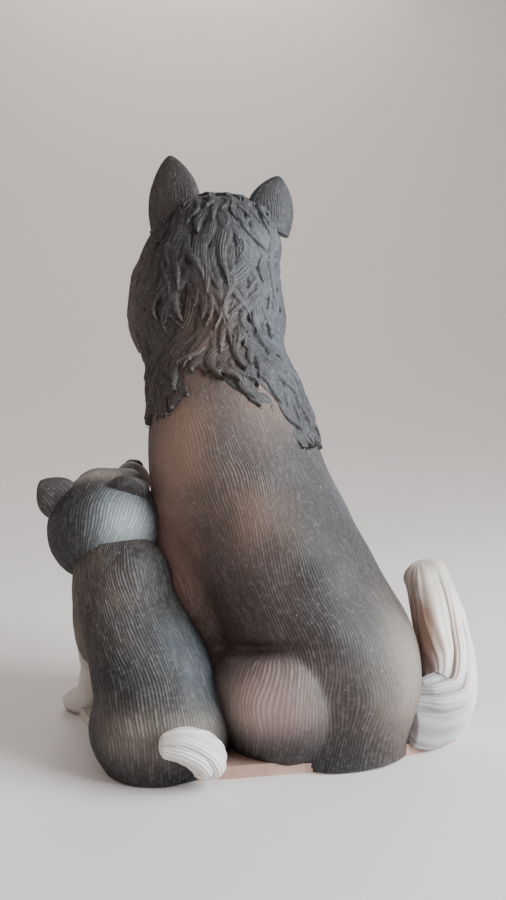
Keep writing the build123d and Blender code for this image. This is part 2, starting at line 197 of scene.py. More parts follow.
def eased(places, values, at):
    """A smooth curve through values at increasing places (cubic, with the neighbours' slope)."""
    places, values = np.asarray(places, float), np.asarray(values, float)
    slopes = np.gradient(values, places)
    at = np.clip(at, places[0], places[-1])
    i = np.clip(np.searchsorted(places, at) - 1, 0, len(places) - 2)
    step = places[i + 1] - places[i]
    t = (at - places[i]) / step
    return (
        values[i] * (1 + 2 * t) * (1 - t) ** 2
        + values[i + 1] * t * t * (3 - 2 * t)
        + slopes[i] * step * t * (1 - t) ** 2
        - slopes[i + 1] * step * t * t * (1 - t)
    )


def skin(distance, middles, across, upright, columns, reach, start_angle=0.0, lift=None):
    """Rings of points where rays from each middle leave a form, found by halving the stretch of
    the ray between inside and outside thirteen times. lift tips each ring's rays, in radians,
    towards the side where across turned to upright points, and so closes a dome."""
    angle = start_angle + np.linspace(0.0, 2 * np.pi, columns, endpoint=False)[None, :, None]
    rays = np.cos(angle) * across[:, None, :] + np.sin(angle) * upright[:, None, :]
    if lift is not None:
        tip = np.asarray(lift)[:, None, None]
        rays = rays * np.cos(tip) + np.cross(across, upright)[:, None, :] * np.sin(tip)
    near = np.zeros((len(middles), columns))
    far = np.full_like(near, reach)
    for _ in range(13):
        half = (near + far) / 2
        inside = distance(middles[:, None, :] + rays * half[..., None]) < 0
        near, far = np.where(inside, half, near), np.where(inside, far, half)
    return middles[:, None, :] + rays * near[..., None]


def outward(grid):
    """Unit normals of a ring-by-ring grid, from the steps round the rings and along them."""
    round_step = np.roll(grid, -1, 1) - np.roll(grid, 1, 1)
    along_step = np.gradient(grid, axis=0)
    normal = np.cross(round_step, along_step)
    normal /= np.linalg.norm(normal, axis=-1, keepdims=True) + 1e-9
    facing = np.sum(normal * (grid - grid.mean(1, keepdims=True)))
    return normal * np.sign(facing)


def scatter(*whole):
    """A repeatable number from 0 to 1 for each combination of whole numbers."""
    weights = (12.9898, 78.233, 37.719, 93.989)
    mixed = sum(w * value for w, value in zip(weights, whole))
    return np.mod(np.abs(np.sin(mixed)) * 43758.5453, 1.0)


def cloud(points, size, seed):
    """Smooth noise from -1 to 1: random values on a lattice, eased between its corners."""
    cell = points / size
    corner = np.floor(cell)
    part = cell - corner
    part = part * part * (3 - 2 * part)
    total = 0.0
    for dx in (0, 1):
        for dy in (0, 1):
            for dz in (0, 1):
                value = scatter(corner[..., 0] + dx, corner[..., 1] + dy, corner[..., 2] + dz, seed)
                weight = (
                    np.abs(1 - dx - part[..., 0])
                    * np.abs(1 - dy - part[..., 1])
                    * np.abs(1 - dz - part[..., 2])
                )
                total = total + value * weight
    return total * 2 - 1


def strokes(phase, run, length, seed):
    """Height from 0 to 1 of fur engraved in strokes: phase counts the strokes side by side and
    run is the distance along them. Each is a rounded ridge that fades at its ends."""
    lane = np.floor(phase)
    across = 2 * (phase - lane) - 1
    place = run / length * (0.8 + 0.5 * scatter(lane, seed)) + 7 * scatter(lane, seed + 1)
    stroke = np.floor(place)
    part = place - stroke
    depth = 0.55 + 0.45 * scatter(lane, stroke, seed + 2)
    ends = np.clip(6 * part * (1 - part), 0, 1) ** 0.5
    return (1 - np.abs(across) ** 2.2) * depth * (0.45 + 0.55 * ends)


def paint(red, green, blue):
    """A display colour from 0 to 255 as the linear colour that shaders use."""
    shown = np.array([red, green, blue], float) / 255
    return np.where(shown < 0.04045, shown / 12.92, ((shown + 0.055) / 1.055) ** 2.4)


def airbrushed(points, ground, sprays):
    """Soft patches of colour over a ground. Each spray: middle, radii, colour and strength; it
    fades as a bell curve of the distance, broken up a little by noise."""
    colour = np.broadcast_to(ground, points.shape).copy()
    ragged = 1 + 0.35 * cloud(points, 5.0, 3)
    for middle, radii, tint, strength in sprays:
        away = np.sum(((points - np.asarray(middle)) / np.asarray(radii)) ** 2, -1) * ragged
        amount = (strength * np.exp(-away))[..., None]
        colour = colour * (1 - amount) + tint * amount
    return colour


def placed(animal, sprays):
    """Sprays whose middles are given ahead, left and up of an animal, for airbrushed."""
    return [(to_world(animal, middle), *rest) for middle, *rest in sprays]


def clay_surface(name, grid, colour, relief, closed_ends=(True, True), normals=None):
    """A mesh of quads over a ring-by-ring grid in millimetres, with each closed end fanned to
    its middle, and the paint and the relief kept as attributes of the points."""
    rows, columns = grid.shape[:2]
    points = grid.reshape(-1, 3)
    ring = np.arange(columns)
    after = np.roll(ring, -1)
    first = (np.arange(rows - 1) * columns)[:, None]
    quads = np.stack(
        [first + ring, first + after, first + columns + after, first + columns + ring], -1
    ).reshape(-1, 4)
    colours, heights = colour.reshape(-1, 3), relief.reshape(-1)
    fans = []
    for row, closed in ((0, closed_ends[0]), (rows - 1, closed_ends[1])):
        if closed:
            middle = len(points)
            points = np.vstack([points, grid[row].mean(0)])
            colours = np.vstack([colours, colour[row].mean(0)])
            heights = np.append(heights, relief[row].mean())
            edge = row * columns
            pair = (edge + after, edge + ring) if row == 0 else (edge + ring, edge + after)
            fans.append(np.stack([pair[0], pair[1], np.full(columns, middle)], -1))
    sample = grid[rows // 2]
    turn = np.cross(grid[rows // 2, 1] - grid[rows // 2, 0], grid[rows // 2 + 1, 0] - grid[rows // 2, 0])
    if np.dot(turn, grid[rows // 2, 0] - sample.mean(0)) < 0:
        quads = quads[:, ::-1]
        fans = [fan[:, ::-1] for fan in fans]
    triangles = np.vstack(fans) if fans else np.zeros((0, 3), int)
    corners = np.concatenate([quads.reshape(-1), triangles.reshape(-1)]).astype(np.int32)
    sizes = np.concatenate([np.full(len(quads), 4), np.full(len(triangles), 3)])
    starts = np.concatenate([[0], np.cumsum(sizes)[:-1]]).astype(np.int32)
    mesh = bpy.data.meshes.new(name)
    mesh.vertices.add(len(points))
    mesh.vertices.foreach_set("co", (points * MM).astype(np.float32).reshape(-1))
    mesh.loops.add(len(corners))
    mesh.loops.foreach_set("vertex_index", corners)
    mesh.polygons.add(len(sizes))
    mesh.polygons.foreach_set("loop_start", starts)
    mesh.polygons.foreach_set("loop_total", sizes.astype(np.int32))
    mesh.update(calc_edges=True)
    mesh.shade_smooth()
    layer = mesh.attributes.new("paint", "FLOAT_COLOR", "POINT")
    rgba = np.hstack([colours, np.ones((len(colours), 1))]).astype(np.float32)
    layer.data.foreach_set("color", rgba.reshape(-1))
    layer = mesh.attributes.new("relief", "FLOAT", "POINT")
    layer.data.foreach_set("value", heights.astype(np.float32))
    if normals is not None:
        spare = np.tile([[0.0, 0.0, 1.0]], (len(points) - rows * columns, 1))
        mesh.normals_split_custom_set_from_vertices(np.vstack([normals.reshape(-1, 3), spare]).tolist())
    piece = bpy.data.objects.new(name, mesh)
    bpy.context.collection.objects.link(piece)
    return piece


class Value:
    """A shader socket that takes arithmetic: each operation adds its Math node."""

    def __init__(self, graph, socket):
        self.graph, self.socket = graph, socket

    def maths(self, operation, left, right=0.0):
        settings = {"operation": operation}
        return self.graph.node("ShaderNodeMath", settings, {0: left, 1: right}, 0)

    def __add__(self, other):
        return self.maths("ADD", self, other)

    def __sub__(self, other):
        return self.maths("SUBTRACT", self, other)

    def __rsub__(self, other):
        return self.maths("SUBTRACT", other, self)

    def __mul__(self, other):
        return self.maths("MULTIPLY", self, other)

    __radd__ = __add__
    __rmul__ = __mul__

    def clamped(self):
        return self.maths("MINIMUM", self.maths("MAXIMUM", self, 0.0), 1.0)


class Finish:
    """A material's node graph, with one method that adds any node."""

    def __init__(self, name):
        self.material = bpy.data.materials.new(name)
        self.material.use_nodes = True
        self.tree = self.material.node_tree
        self.shader = self.tree.nodes["Principled BSDF"]

    def node(self, kind, settings, inputs, output):
        """Adds a node, sets its settings, then fills its sockets with values or links."""
        made = self.tree.nodes.new(kind)
        for key, setting in settings.items():
            setattr(made, key, setting)
        for key, given in inputs.items():
            self.feed(made.inputs[key], given)
        return Value(self, made.outputs[output])

    def feed(self, socket, given):
        if isinstance(given, Value):
            self.tree.links.new(given.socket, socket)
        else:
            socket.default_value = given


def painted_clay(name, drybrush_highlight=0.22, groove_shade=0.55, roughness=0.62, speck=0.5, bump=0.25):
    """Matt underglaze on clay. The paint attribute is darkened as painted shade where the relief is
    low, dry-brushed pale and cool where it is high, which is partly a painted highlight on the
    ridges, and broken up by fine grain and pale specks."""
    finish = Finish(name)
    places = finish.node("ShaderNodeTexCoord", {}, {}, "Object")
    coat = finish.node("ShaderNodeAttribute", {"attribute_name": "paint"}, {}, "Color")
    relief = finish.node("ShaderNodeAttribute", {"attribute_name": "relief"}, {}, "Fac")
    grain = finish.node(
        "ShaderNodeTexNoise", {}, {"Vector": places, "Scale": 900.0, "Detail": 3.0}, "Fac"
    )
    blotch = finish.node(
        "ShaderNodeTexNoise", {}, {"Vector": places, "Scale": 110.0, "Detail": 4.0}, "Fac"
    )
    dust = finish.node(
        "ShaderNodeTexNoise", {}, {"Vector": places, "Scale": 1500.0, "Detail": 1.0}, "Fac"
    )
    # Painted shade darkens the grooves; the pale, cool dry-brushing of the ridges is partly a painted
    # highlight.
    depth = ((1 - relief) * groove_shade + (blotch - 0.5) * 0.25).clamped()
    ridge = ((relief - 0.62) * 2.6 + (blotch - 0.5) * 1.0).clamped() * drybrush_highlight
    specks = ((dust - 0.735) * 22.0).clamped() * speck

    def mixed(amount, under, over, kind="MIX"):
        settings = {"data_type": "RGBA", "blend_type": kind}
        return finish.node("ShaderNodeMix", settings, {0: amount, 6: under, 7: over}, 2)

    shaded = mixed(depth, coat, (0.16, 0.13, 0.12, 1.0), "MULTIPLY")
    brushed = mixed(ridge, shaded, (0.34, 0.36, 0.39, 1.0), "SCREEN")
    broken = mixed((grain - 0.5).clamped() * 0.5, brushed, (0.32, 0.29, 0.28, 1.0))
    final = mixed(specks, broken, (0.66, 0.62, 0.58, 1.0))
    finish.feed(finish.shader.inputs["Base Color"], final)
    finish.feed(finish.shader.inputs["Roughness"], roughness + (blotch - 0.5) * 0.22)
    pits = finish.node(
        "ShaderNodeBump", {}, {"Height": grain, "Strength": bump, "Distance": 0.00025}, "Normal"
    )
    finish.feed(finish.shader.inputs["Normal"], pits)
    finish.shader.inputs["Specular IOR Level"].default_value = 0.42
    return finish.material


def keep_piece(piece, material, slot, *nodes):
    """Gives a piece its finish and its place in the object: all of it is one rigid body."""
    piece.data.materials.append(material)
    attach(piece, "root")
    if nodes:
        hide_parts(*nodes)


body_low, body_high = box_mm("mother_body")
slab_top = body_low[2]
neck_top = body_high[2]
trunk_heights = slab_top + (neck_top - slab_top) * np.array([0, 0.12, 0.24, 0.36, 0.5, 0.64, 0.78, 0.9, 1])
trunk_ahead = [1.5, 1.3, 4.0, 12.9, 22.8, 30.0, 34.6, 37.2, 38.0]
trunk_half_length = [22.5, 25.0, 25.5, 25.0, 24.0, 21.5, 20.0, 18.5, 17.0]
trunk_half_width = [22.0, 23.5, 24.0, 24.5, 24.5, 23.5, 21.5, 20.0, 18.5]


def mother_form(points):
    """The trunk's oval sections, with haunches, knees, shoulders and the breast merged on."""
    local = to_animal(mother, points)
    height = local[..., 2]
    ahead = local[..., 0] - eased(trunk_heights, trunk_ahead, height)
    half_length = eased(trunk_heights, trunk_half_length, height)
    half_width = eased(trunk_heights, trunk_half_width, height)
    share = np.sqrt((ahead / half_length) ** 2 + (local[..., 1] / half_width) ** 2)
    over_top = np.clip(height - (neck_top - 20.0), 0, None)
    forms = [(np.sqrt(share**2 + (over_top / 20.0) ** 2) - 1) * half_length]
    forms.append(oval(local, (46.0, 0.0, 82.0), (10.0, 15.0, 26.0), -12))
    for side in (1, -1):
        forms.append(oval(local, (33.0, 15.5 * side, 70.0), (14.0, 10.5, 25.0), -8))
        forms.append(oval(local, (40.0, 14.5 * side, 48.0), (8.0, 8.0, 15.0), 6))
        forms.append(oval(local, (33.0, 17.0 * side, 30.0), (13.0, 9.0, 22.0), -14))
    trunk = merged(forms, 1.8)
    thighs = [trunk]
    for side in (1, -1):
        thighs.append(oval(local, (4.0, 19.5 * side, 15.0), (17.0, 12.5, 16.5), 12))
        thighs.append(oval(local, (19.0, 20.0 * side, 13.0), (14.0, 9.0, 11.5), -12))
    whole = merged(thighs, 0.4)
    for side in (1, -1):
        fold = oval(local, (3.0, 27.0 * side, 28.5), (16.0, 5.0, 1.6), -10)
        whole = -merged([-whole, fold], 0.9)
    return whole


strokes_round = 200
body_columns = POINTS_PER_STROKE * strokes_round
body_rows = 212
body_height = np.linspace(FOOT, neck_top - 6.0, body_rows)
body_middles = to_world(
    mother,
    np.stack([eased(trunk_heights, trunk_ahead, body_height), 0 * body_height, body_height], -1),
)
level_ahead = np.broadcast_to(mother[1][0], (body_rows, 3))
level_left = np.broadcast_to(mother[1][1], (body_rows, 3))
body_skin = skin(mother_form, body_middles, level_ahead, level_left, body_columns, 60.0)
body_out = outward(body_skin)

lanes = np.arange(body_columns)[None, :] / POINTS_PER_STROKE
sway = 6.0 * cloud(body_skin, 34.0, 11) + 1.7 * cloud(body_skin, 9.0, 12)
low_down = np.clip((42.0 - body_skin[..., 2]) / 42.0, 0, 1)
flank = to_animal(mother, body_skin)
sweep = 14.0 * low_down**1.6 * np.sin(np.arctan2(flank[..., 1], flank[..., 0] - 4.0))
body_relief = strokes(lanes + sway + sweep, -body_skin[..., 2], 8.0, 21)
lumps = 0.35 * cloud(body_skin, 9.0, 13)
hollows = np.clip(cloud(body_skin * [1, 1, 0.5], 4.2, 14), 0, 1)
body_relief = 0.75 + (body_relief - 0.75) * (0.55 + 0.45 * cloud(body_skin, 12.0, 15))
lift = 0.22 * (body_relief - 0.75) + lumps - 0.15 * hollows
body_grid = body_skin + body_out * lift[..., None]

charcoal, sky_sheen_blue = paint(34, 31, 31), paint(92, 97, 104)
umber, tan, rose, fawn = paint(74, 57, 50), paint(138, 110, 94), paint(178, 154, 147), paint(160, 150, 138)
body_colour = airbrushed(
    body_skin,
    paint(57, 49, 46),
    placed(mother, [
        ((30, 26, 78), (9, 9, 17), tan, 0.85),
        ((12, 10, 92), (9, 12, 10), tan, 0.6),
        ((-4, 4, 60), (15, 20, 20), charcoal, 0.75),
        ((8, 22, 62), (9, 7, 12), tan, 0.55),
        ((2, 28, 44), (16, 10, 13), umber, 0.6),
        ((40, 22, 44), (16, 12, 24), paint(156, 120, 110), 0.9),
        # painted highlight: a cool blue-grey sheen on the right flank, the side towards the window
        ((6, -14, 60), (13, 9, 26), sky_sheen_blue, 0.45),
        ((-22, -4, 42), (12, 14, 18), charcoal, 0.6),
        ((-18, 12, 30), (12, 12, 12), charcoal, 0.5),
        ((-22, -2, 22), (9, 10, 16), fawn, 0.7),
        ((-2, 30, 17), (10, 9, 9), rose, 0.95),
        # painted shade under the haunch, down by the floor
        ((-2, 26, 2), (26, 20, 9), charcoal, 0.95),
        # painted shade on the low back, which faces away from the window
        ((-8, 14, 42), (12, 12, 14), charcoal, 0.7),
        ((-22, -12, 6), (14, 14, 9), paint(118, 96, 84), 0.8),
    ]),
)
# Painted shade: the body is darkened towards the slab, low down by the floor.
shade_near_slab = np.clip(1.15 - body_skin[..., 2] / 12.0, 0, 1)[..., None]
body_colour = body_colour * (1 - 0.55 * shade_near_slab)
coat_finish = painted_clay("mother_coat_paint", drybrush_highlight=0.09, speck=0.22)
half_row = body_rows // 2
for name, rows, ends in (
    ("mother_rump_and_haunches", slice(0, half_row + 1), (True, False)),
    ("mother_back_and_shoulders", slice(half_row, body_rows), (False, True)),
):
    part_normals = outward(body_grid)[rows]
    piece = clay_surface(name, body_grid[rows], body_colour[rows], body_relief[rows], ends, part_normals)
    keep_piece(piece, coat_finish, "mother_coat", "mother_body")

# ---------------------------------------------------------------- mother's mane
# A ruff over the joint of head and neck: a skin of clay with long wavy locks laid on it one by
# one from the bottom up, each combed with a wire tool. It ends in points between the shoulders.
head_low, head_high = box_mm("mother_head")
mane_low, mane_high = box_mm("mother_mane")
skull = np.array([(head_low[0] + head_high[0]) / 2, head_low[1] + 34.5, head_high[2] - 16.0])
mane_middle = np.array([(mane_low[0] + mane_high[0]) / 2, mane_high[1] - 23.6, mane_high[2] - 22.0])
mother_head = heading_frame(skull, 0.0)


def mane_form(points):
    """What the locks lie on: the skull, a thick neck and the top of the trunk, merged."""
    return merged(
        [
            mother_form(points),
            oval(points, mane_middle, (21.6, 19.5, 26.0)),
            oval(points, skull + [1.0, 1.5, 0.5], (18.6, 18.0, 14.6)),
            oval(points, mane_middle + [9.0, -1.0, 2.0], (13.5, 15.0, 17.0)),
            oval(points, mane_middle + [-3.0, 2.0, -22.0], (18.0, 15.0, 20.0)),
        ],
        1.6,
    )


def laid_locks(surface, normals, roots, flow, length, width, rise, curl, seed, combs=4.5, steps=9):
    """Locks of hair laid on a skin. Each starts at its root and follows flow over the skin, bent
    from side to side by curl. It is a rounded ribbon that tapers to its tip and stands higher
    towards it, with combs wire marks; where locks cross, the higher one shows. Returns at each
    point of the skin the height in millimetres, the relief from 0 to 1 and the lock's number."""
    points = surface.reshape(-1, 3)
    facing = normals.reshape(-1, 3)
    height = np.zeros(len(points))
    relief = np.zeros(len(points))
    owner = np.full(len(points), -1)
    for k, root in enumerate(roots):
        near = np.flatnonzero(np.abs(points - root).max(1) < length[k] + width[k])
        if len(near) < 20:
            continue
        around, around_facing = points[near], facing[near]
        path = [root]
        for step in range(steps):
            touch = np.argmin(np.sum((around - path[-1]) ** 2, 1))
            up = around_facing[touch]
            pull = flow(around[touch])
            waves = (0.9 + 1.3 * scatter(k, seed + 2)) * step / steps
            sway = curl[k] * np.sin(np.pi * (waves + 2 * scatter(k, seed)))
            heading = pull + np.cross(up, pull) * sway
            heading = heading - up * (heading @ up)
            path.append(around[touch] + heading / np.linalg.norm(heading) * length[k] / steps)
        path = np.array(path)
        close = np.abs(around - path.mean(0)).max(1) < 0.62 * length[k] + width[k]
        near, around, around_facing = near[close], around[close], around_facing[close]
        run = np.diff(path, axis=0)
        away = around[:, None, :] - path[None, :-1]
        share = np.clip(np.sum(away * run, -1) / np.sum(run * run, -1), 0, 1)
        away = away - share[..., None] * run
        best = np.argmin(np.sum(away * away, -1), 1)
        pick = np.arange(len(around))
        along = (best + share[pick, best]) / steps
        side = np.cross(run[best], around_facing)
        side /= np.linalg.norm(side, axis=-1, keepdims=True) + 1e-9
        half = 0.5 * width[k] * np.clip(along / 0.2 + 0.45, 0, 1) * (1 - along**2.4) ** 0.75 + 0.05
        across = np.sum(away[pick, best] * side, -1) / half
        on = (np.abs(across) < 1) & (np.linalg.norm(away[pick, best], axis=-1) < half * 1.3 + 0.4)
        across = np.clip(across, -1, 1)
        round_top = (1 - across**2) ** 0.55
        mark = np.cos(np.pi * combs * across + 5 * scatter(k, seed + 1) + 1.5 * along)
        lift = rise[k] * (0.22 + 0.78 * along**0.8) * (0.35 + 0.65 * round_top) + 0.085 * mark * round_top
        over = near[on & (lift > height[near])]
        chosen = on & (lift > height[near])
        height[over] = lift[chosen]
        relief[over] = (0.30 + 0.34 * round_top + 0.22 * mark * round_top + 0.12 * along)[chosen]
        owner[over] = k
    shape = surface.shape[:2]
    return height.reshape(shape), relief.reshape(shape), owner.reshape(shape)


def roots_on(surface, gap, seed):
    """Places for roots on a skin, about a gap apart, set back at random by half a gap."""
    dice = np.random.default_rng(seed)
    rows, columns = surface.shape[:2]
    places = []
    row_step = max(int(gap / np.linalg.norm(np.diff(surface, axis=0), axis=-1).mean()), 1)
    for row in range(row_step // 2, rows, row_step):
        girth = np.linalg.norm(np.diff(surface[row], axis=0), axis=-1).sum()
        many = max(int(girth / gap), 3)
        column = (np.arange(many) + dice.uniform(-0.45, 0.45, many)) / many * columns
        line = np.clip(row + dice.integers(-row_step // 2, row_step // 2 + 1, many), 0, rows - 1)
        places.append(surface[line, column.astype(int) % columns])
    return np.concatenate(places), dice


hem_across = [-30.0, -22.0, -13.5, -4.0, 4.0, 14.0, 22.0, 32.0, 40.0]
hem_height = [92.0, 90.0, 77.0, 84.0, 90.0, 96.0, 86.0, 86.0, 90.0]


def mane_hem(points):
    """How low the locks reach: pointed between the shoulders behind, and rounded on the chest."""
    behind = eased(hem_across, hem_height, points[..., 0])
    in_front = 82.0 + 0.012 * (points[..., 0] - 16.0) ** 2
    share = np.clip((points[..., 1] - mane_middle[1] + 8.0) / 10.0, 0, 1)
    return in_front * (1 - share) + behind * share


def away_from_face(points):
    """1 on the bare face, falling to 0 behind the brow, the cheeks and the jaw."""
    local = (points - skull) / 18.0
    reach = np.linalg.norm(local, axis=-1)
    forward = -local[..., 1] / reach
    above_jaw = np.clip((local[..., 2] + 0.95) / 0.15, 0, 1)
    return np.clip((forward - 0.34 - 0.22 * np.clip(local[..., 2], 0, 1)) / 0.10, 0, 1) * above_jaw


def mane_flow(point):
    """Hair runs back from the nose over the crown and the cheeks, and turns down on the neck."""
    from_nose = point - (skull + [0.0, -34.0, -4.0])
    from_nose = from_nose / np.linalg.norm(from_nose)
    down = np.clip((point[1] - skull[1] - 4.0) / 12.0, 0.15, 1.0)
    down = max(down, float(np.clip((skull[2] - 6.0 - point[2]) / 10.0, 0, 1)))
    drift = np.array([0.55 * cloud(point[None], 15.0, 44)[0], 0.0, 0.0])
    slant = np.array([-0.30, 0.0, 0.0]) * np.clip((108.0 - point[2]) / 20.0, 0, 1)
    pull = from_nose * (1 - down) + np.array([0.0, 0.0, -1.0]) * down + drift + slant
    return pull / np.linalg.norm(pull)


neck_rows, crown_rows, mane_columns = 190, 110, 600
neck_height = np.linspace(72.0, 126.0, neck_rows)
mane_z = np.concatenate([neck_height, np.full(crown_rows, 126.0)])
mane_lift = np.concatenate([np.zeros(neck_rows), np.linspace(0.01, 1.53, crown_rows)])
low_middle = to_world(mother, (30.0, 0.0, 0.0))
mane_axis = np.stack(
    [
        eased([72, 96, 112, 126], [low_middle[0], 10.0, mane_middle[0], skull[0] + 2.0], mane_z),
        eased([72, 96, 112, 126], [low_middle[1], -6.0, mane_middle[1], skull[1] + 3.0], mane_z),
        mane_z,
    ],
    -1,
)
east = np.broadcast_to([1.0, 0.0, 0.0], mane_axis.shape)
north = np.broadcast_to([0.0, 1.0, 0.0], mane_axis.shape)
mane_skin = skin(mane_form, mane_axis, east, north, mane_columns, 55.0, -np.pi / 2, mane_lift)
mane_out = outward(mane_skin)
roots, dice = roots_on(mane_skin, 3.5, 7)
room = roots[:, 2] - mane_hem(roots)
keep = (away_from_face(roots) < 0.5) & (room > 3.0)
roots, room = roots[keep], room[keep]
many = len(roots)
on_crown = np.clip((roots[:, 2] - skull[2] - 2) / 8, 0, 1)
lock_length = np.minimum(dice.uniform(12.0, 27.0, many) * (1 - 0.45 * on_crown), room * 1.1 + 2.0)
lock_width = dice.uniform(1.9, 4.6, many) * (1 - 0.25 * on_crown)
lock_rise = dice.uniform(0.7, 1.9, many) * (1 - 0.3 * on_crown)
lock_curl = dice.uniform(0.1, 1.15, many) * np.sign(dice.uniform(-1, 1, many) + 0.35)
height, relief, owner = laid_locks(
    mane_skin, mane_out, roots, mane_flow, lock_length, lock_width, lock_rise, lock_curl, 51
)
bare = owner < 0
lanes = np.arange(mane_columns)[None, :] / 4.0 + 3.0 * cloud(mane_skin, 14.0, 41)
under = strokes(lanes, -mane_skin[..., 2], 9.0, 42)
relief = np.where(bare, 0.45 * under, relief)
below_hem = np.clip((mane_hem(mane_skin) + 1.0 - mane_skin[..., 2]) / 2.0, 0, 1)
sunk = np.where(bare, 1.6 * below_hem, 0.0) + 4.0 * away_from_face(mane_skin)
swell = 0.8 * cloud(mane_skin, 8.5, 43)
mane_grid = mane_skin + mane_out * (height + swell - 0.2 - sunk)[..., None]

cocoa, cool = paint(50, 42, 38), paint(84, 90, 98)
mane_colour = airbrushed(
    mane_skin,
    paint(31, 27, 26),
    [
        # painted highlight: the two cool sprays lie on the side towards the window
        (skull + [-16, 10, -2], (13, 16, 20), cool, 0.55),
        (mane_middle + [-18, 12, -18], (12, 16, 18), cool, 0.6),
        (mane_middle + [0, 20, -12], (8, 10, 13), paint(104, 80, 66), 0.6),
        (mane_middle + [2, 20, -28], (9, 10, 8), paint(112, 88, 75), 0.6),
        (mane_middle + [22, 4, 0], (6, 14, 22), paint(104, 92, 86), 0.6),
        (skull + [4, 8, 14], (9, 9, 5), cocoa, 0.5),
        (mane_middle + [2, -22, -22], (15, 12, 22), paint(196, 184, 172), 0.95),
        (skull + [16, -14, -14], (8, 9, 10), paint(170, 156, 146), 0.75),
        (skull + [-16, -14, -14], (8, 9, 10), paint(170, 156, 146), 0.75),
    ],
)
# Painted shade darkens the bare skin in the gaps between locks; each lock also gets its own random tone.
gap_shade_and_lock_tone = np.where(bare, 0.80, 0.84 + 0.32 * scatter(owner, 8.0))
mane_colour = mane_colour * gap_shade_and_lock_tone[..., None]
mane_finish = painted_clay("dark_mane_paint", drybrush_highlight=0.13, groove_shade=0.95, speck=0.25)
lowest = 10  # the rows under this one lie inside the trunk
seam = lowest + (len(mane_grid) - lowest) // 2
mane_normals = outward(mane_grid)
for name, rows, ends in (
    ("mother_ruff_locks", slice(lowest, seam + 1), (True, False)),
    ("mother_crown_locks", slice(seam, len(mane_grid)), (False, True)),
):
    piece = clay_surface(name, mane_grid[rows], mane_colour[rows], relief[rows], ends, mane_normals[rows])
    keep_piece(piece, mane_finish, "dark_mane", "mother_mane")

# ---------------------------------------------------------------- mother's head
# A hollow skull with a tapering muzzle, cast by itself and dropped into the neck by a spigot.
# The face is modelled in low relief, with a pale mask, and the mouth is a line drawn in the clay.


def face_form(local, size, muzzle_long, ruff):
    """A dog's head about the middle of its skull, for a given skull radius: cranium, brows,
    cheeks and jaw merged, with the eye sockets pressed in."""
    r = size
    forms = [
        oval(local, (0, 0, 0), (0.98 * r, 0.96 * r, 0.84 * r)),
        oval(local, (0.46 * r, 0, 0.16 * r), (0.58 * r, 0.66 * r, 0.48 * r), -18),
        limb(local, (0.80 * r, 0, -0.28 * r), (muzzle_long, 0, -0.42 * r), 0.43 * r, 0.29 * r),
        limb(local, (0.66 * r, 0, 0.02 * r), (muzzle_long, 0, -0.24 * r), 0.26 * r, 0.17 * r),
        limb(local, (0.40 * r, 0, -0.66 * r), (0.86 * muzzle_long, 0, -0.64 * r), 0.34 * r, 0.19 * r),
    ]
    for side in (1, -1):
        forms.append(oval(local, (0.34 * r, 0.50 * side * r, -0.40 * r), (0.52 * r, ruff * r, 0.44 * r)))
        brow = (0.84 * r, 0.34 * side * r, 0.30 * r)
        lip = (muzzle_long - 0.14 * r, 0.14 * side * r, -0.44 * r)
        forms.append(oval(local, brow, (0.16 * r, 0.24 * r, 0.13 * r), 0, 18 * side))
        forms.append(oval(local, lip, (0.26 * r, 0.20 * r, 0.20 * r)))
    head = merged(forms, 0.055 * r)
    for side in (1, -1):
        hollow = (0.98 * r, 0.40 * side * r, 0.09 * r)
        socket = oval(local, hollow, (0.24 * r, 0.20 * r, 0.125 * r), 0, 26 * side)
        head = -merged([-head, socket], 0.03 * r)
    return head


def head_grid(frame_of_head, size, muzzle_long, ruff, rows, columns, back):
    """Rings across a head from the back of the skull to the nose, closer together at the ends."""
    share = (1 - np.cos(np.pi * np.linspace(0.02, 0.985, rows))) / 2
    ahead = -back * size + share * (muzzle_long + (back + 0.28) * size)
    drop = -0.36 * size * np.clip(ahead / muzzle_long, 0, 1)
    middles = to_world(frame_of_head, np.stack([ahead, 0 * ahead, drop], -1))
    across = np.broadcast_to(frame_of_head[1][1], (rows, 3))
    upright = np.broadcast_to(frame_of_head[1][2], (rows, 3))

    def form(points):
        return face_form(to_animal(frame_of_head, points), size, muzzle_long, ruff)

    return skin(form, middles, across, upright, columns, 2.2 * size, -np.pi / 2)


def mouth_groove(local, size, muzzle_long):
    """Depth of the mouth's line: a narrow trough round the muzzle that turns up at its corners."""
    level = -0.60 * size + 0.12 * size * np.cos(local[..., 0] / muzzle_long * 5.0)
    reach = np.clip((local[..., 0] - 0.62 * size) / (0.2 * size), 0, 1)
    return np.exp(-(((local[..., 2] - level) / (0.035 * size)) ** 2)) * reach


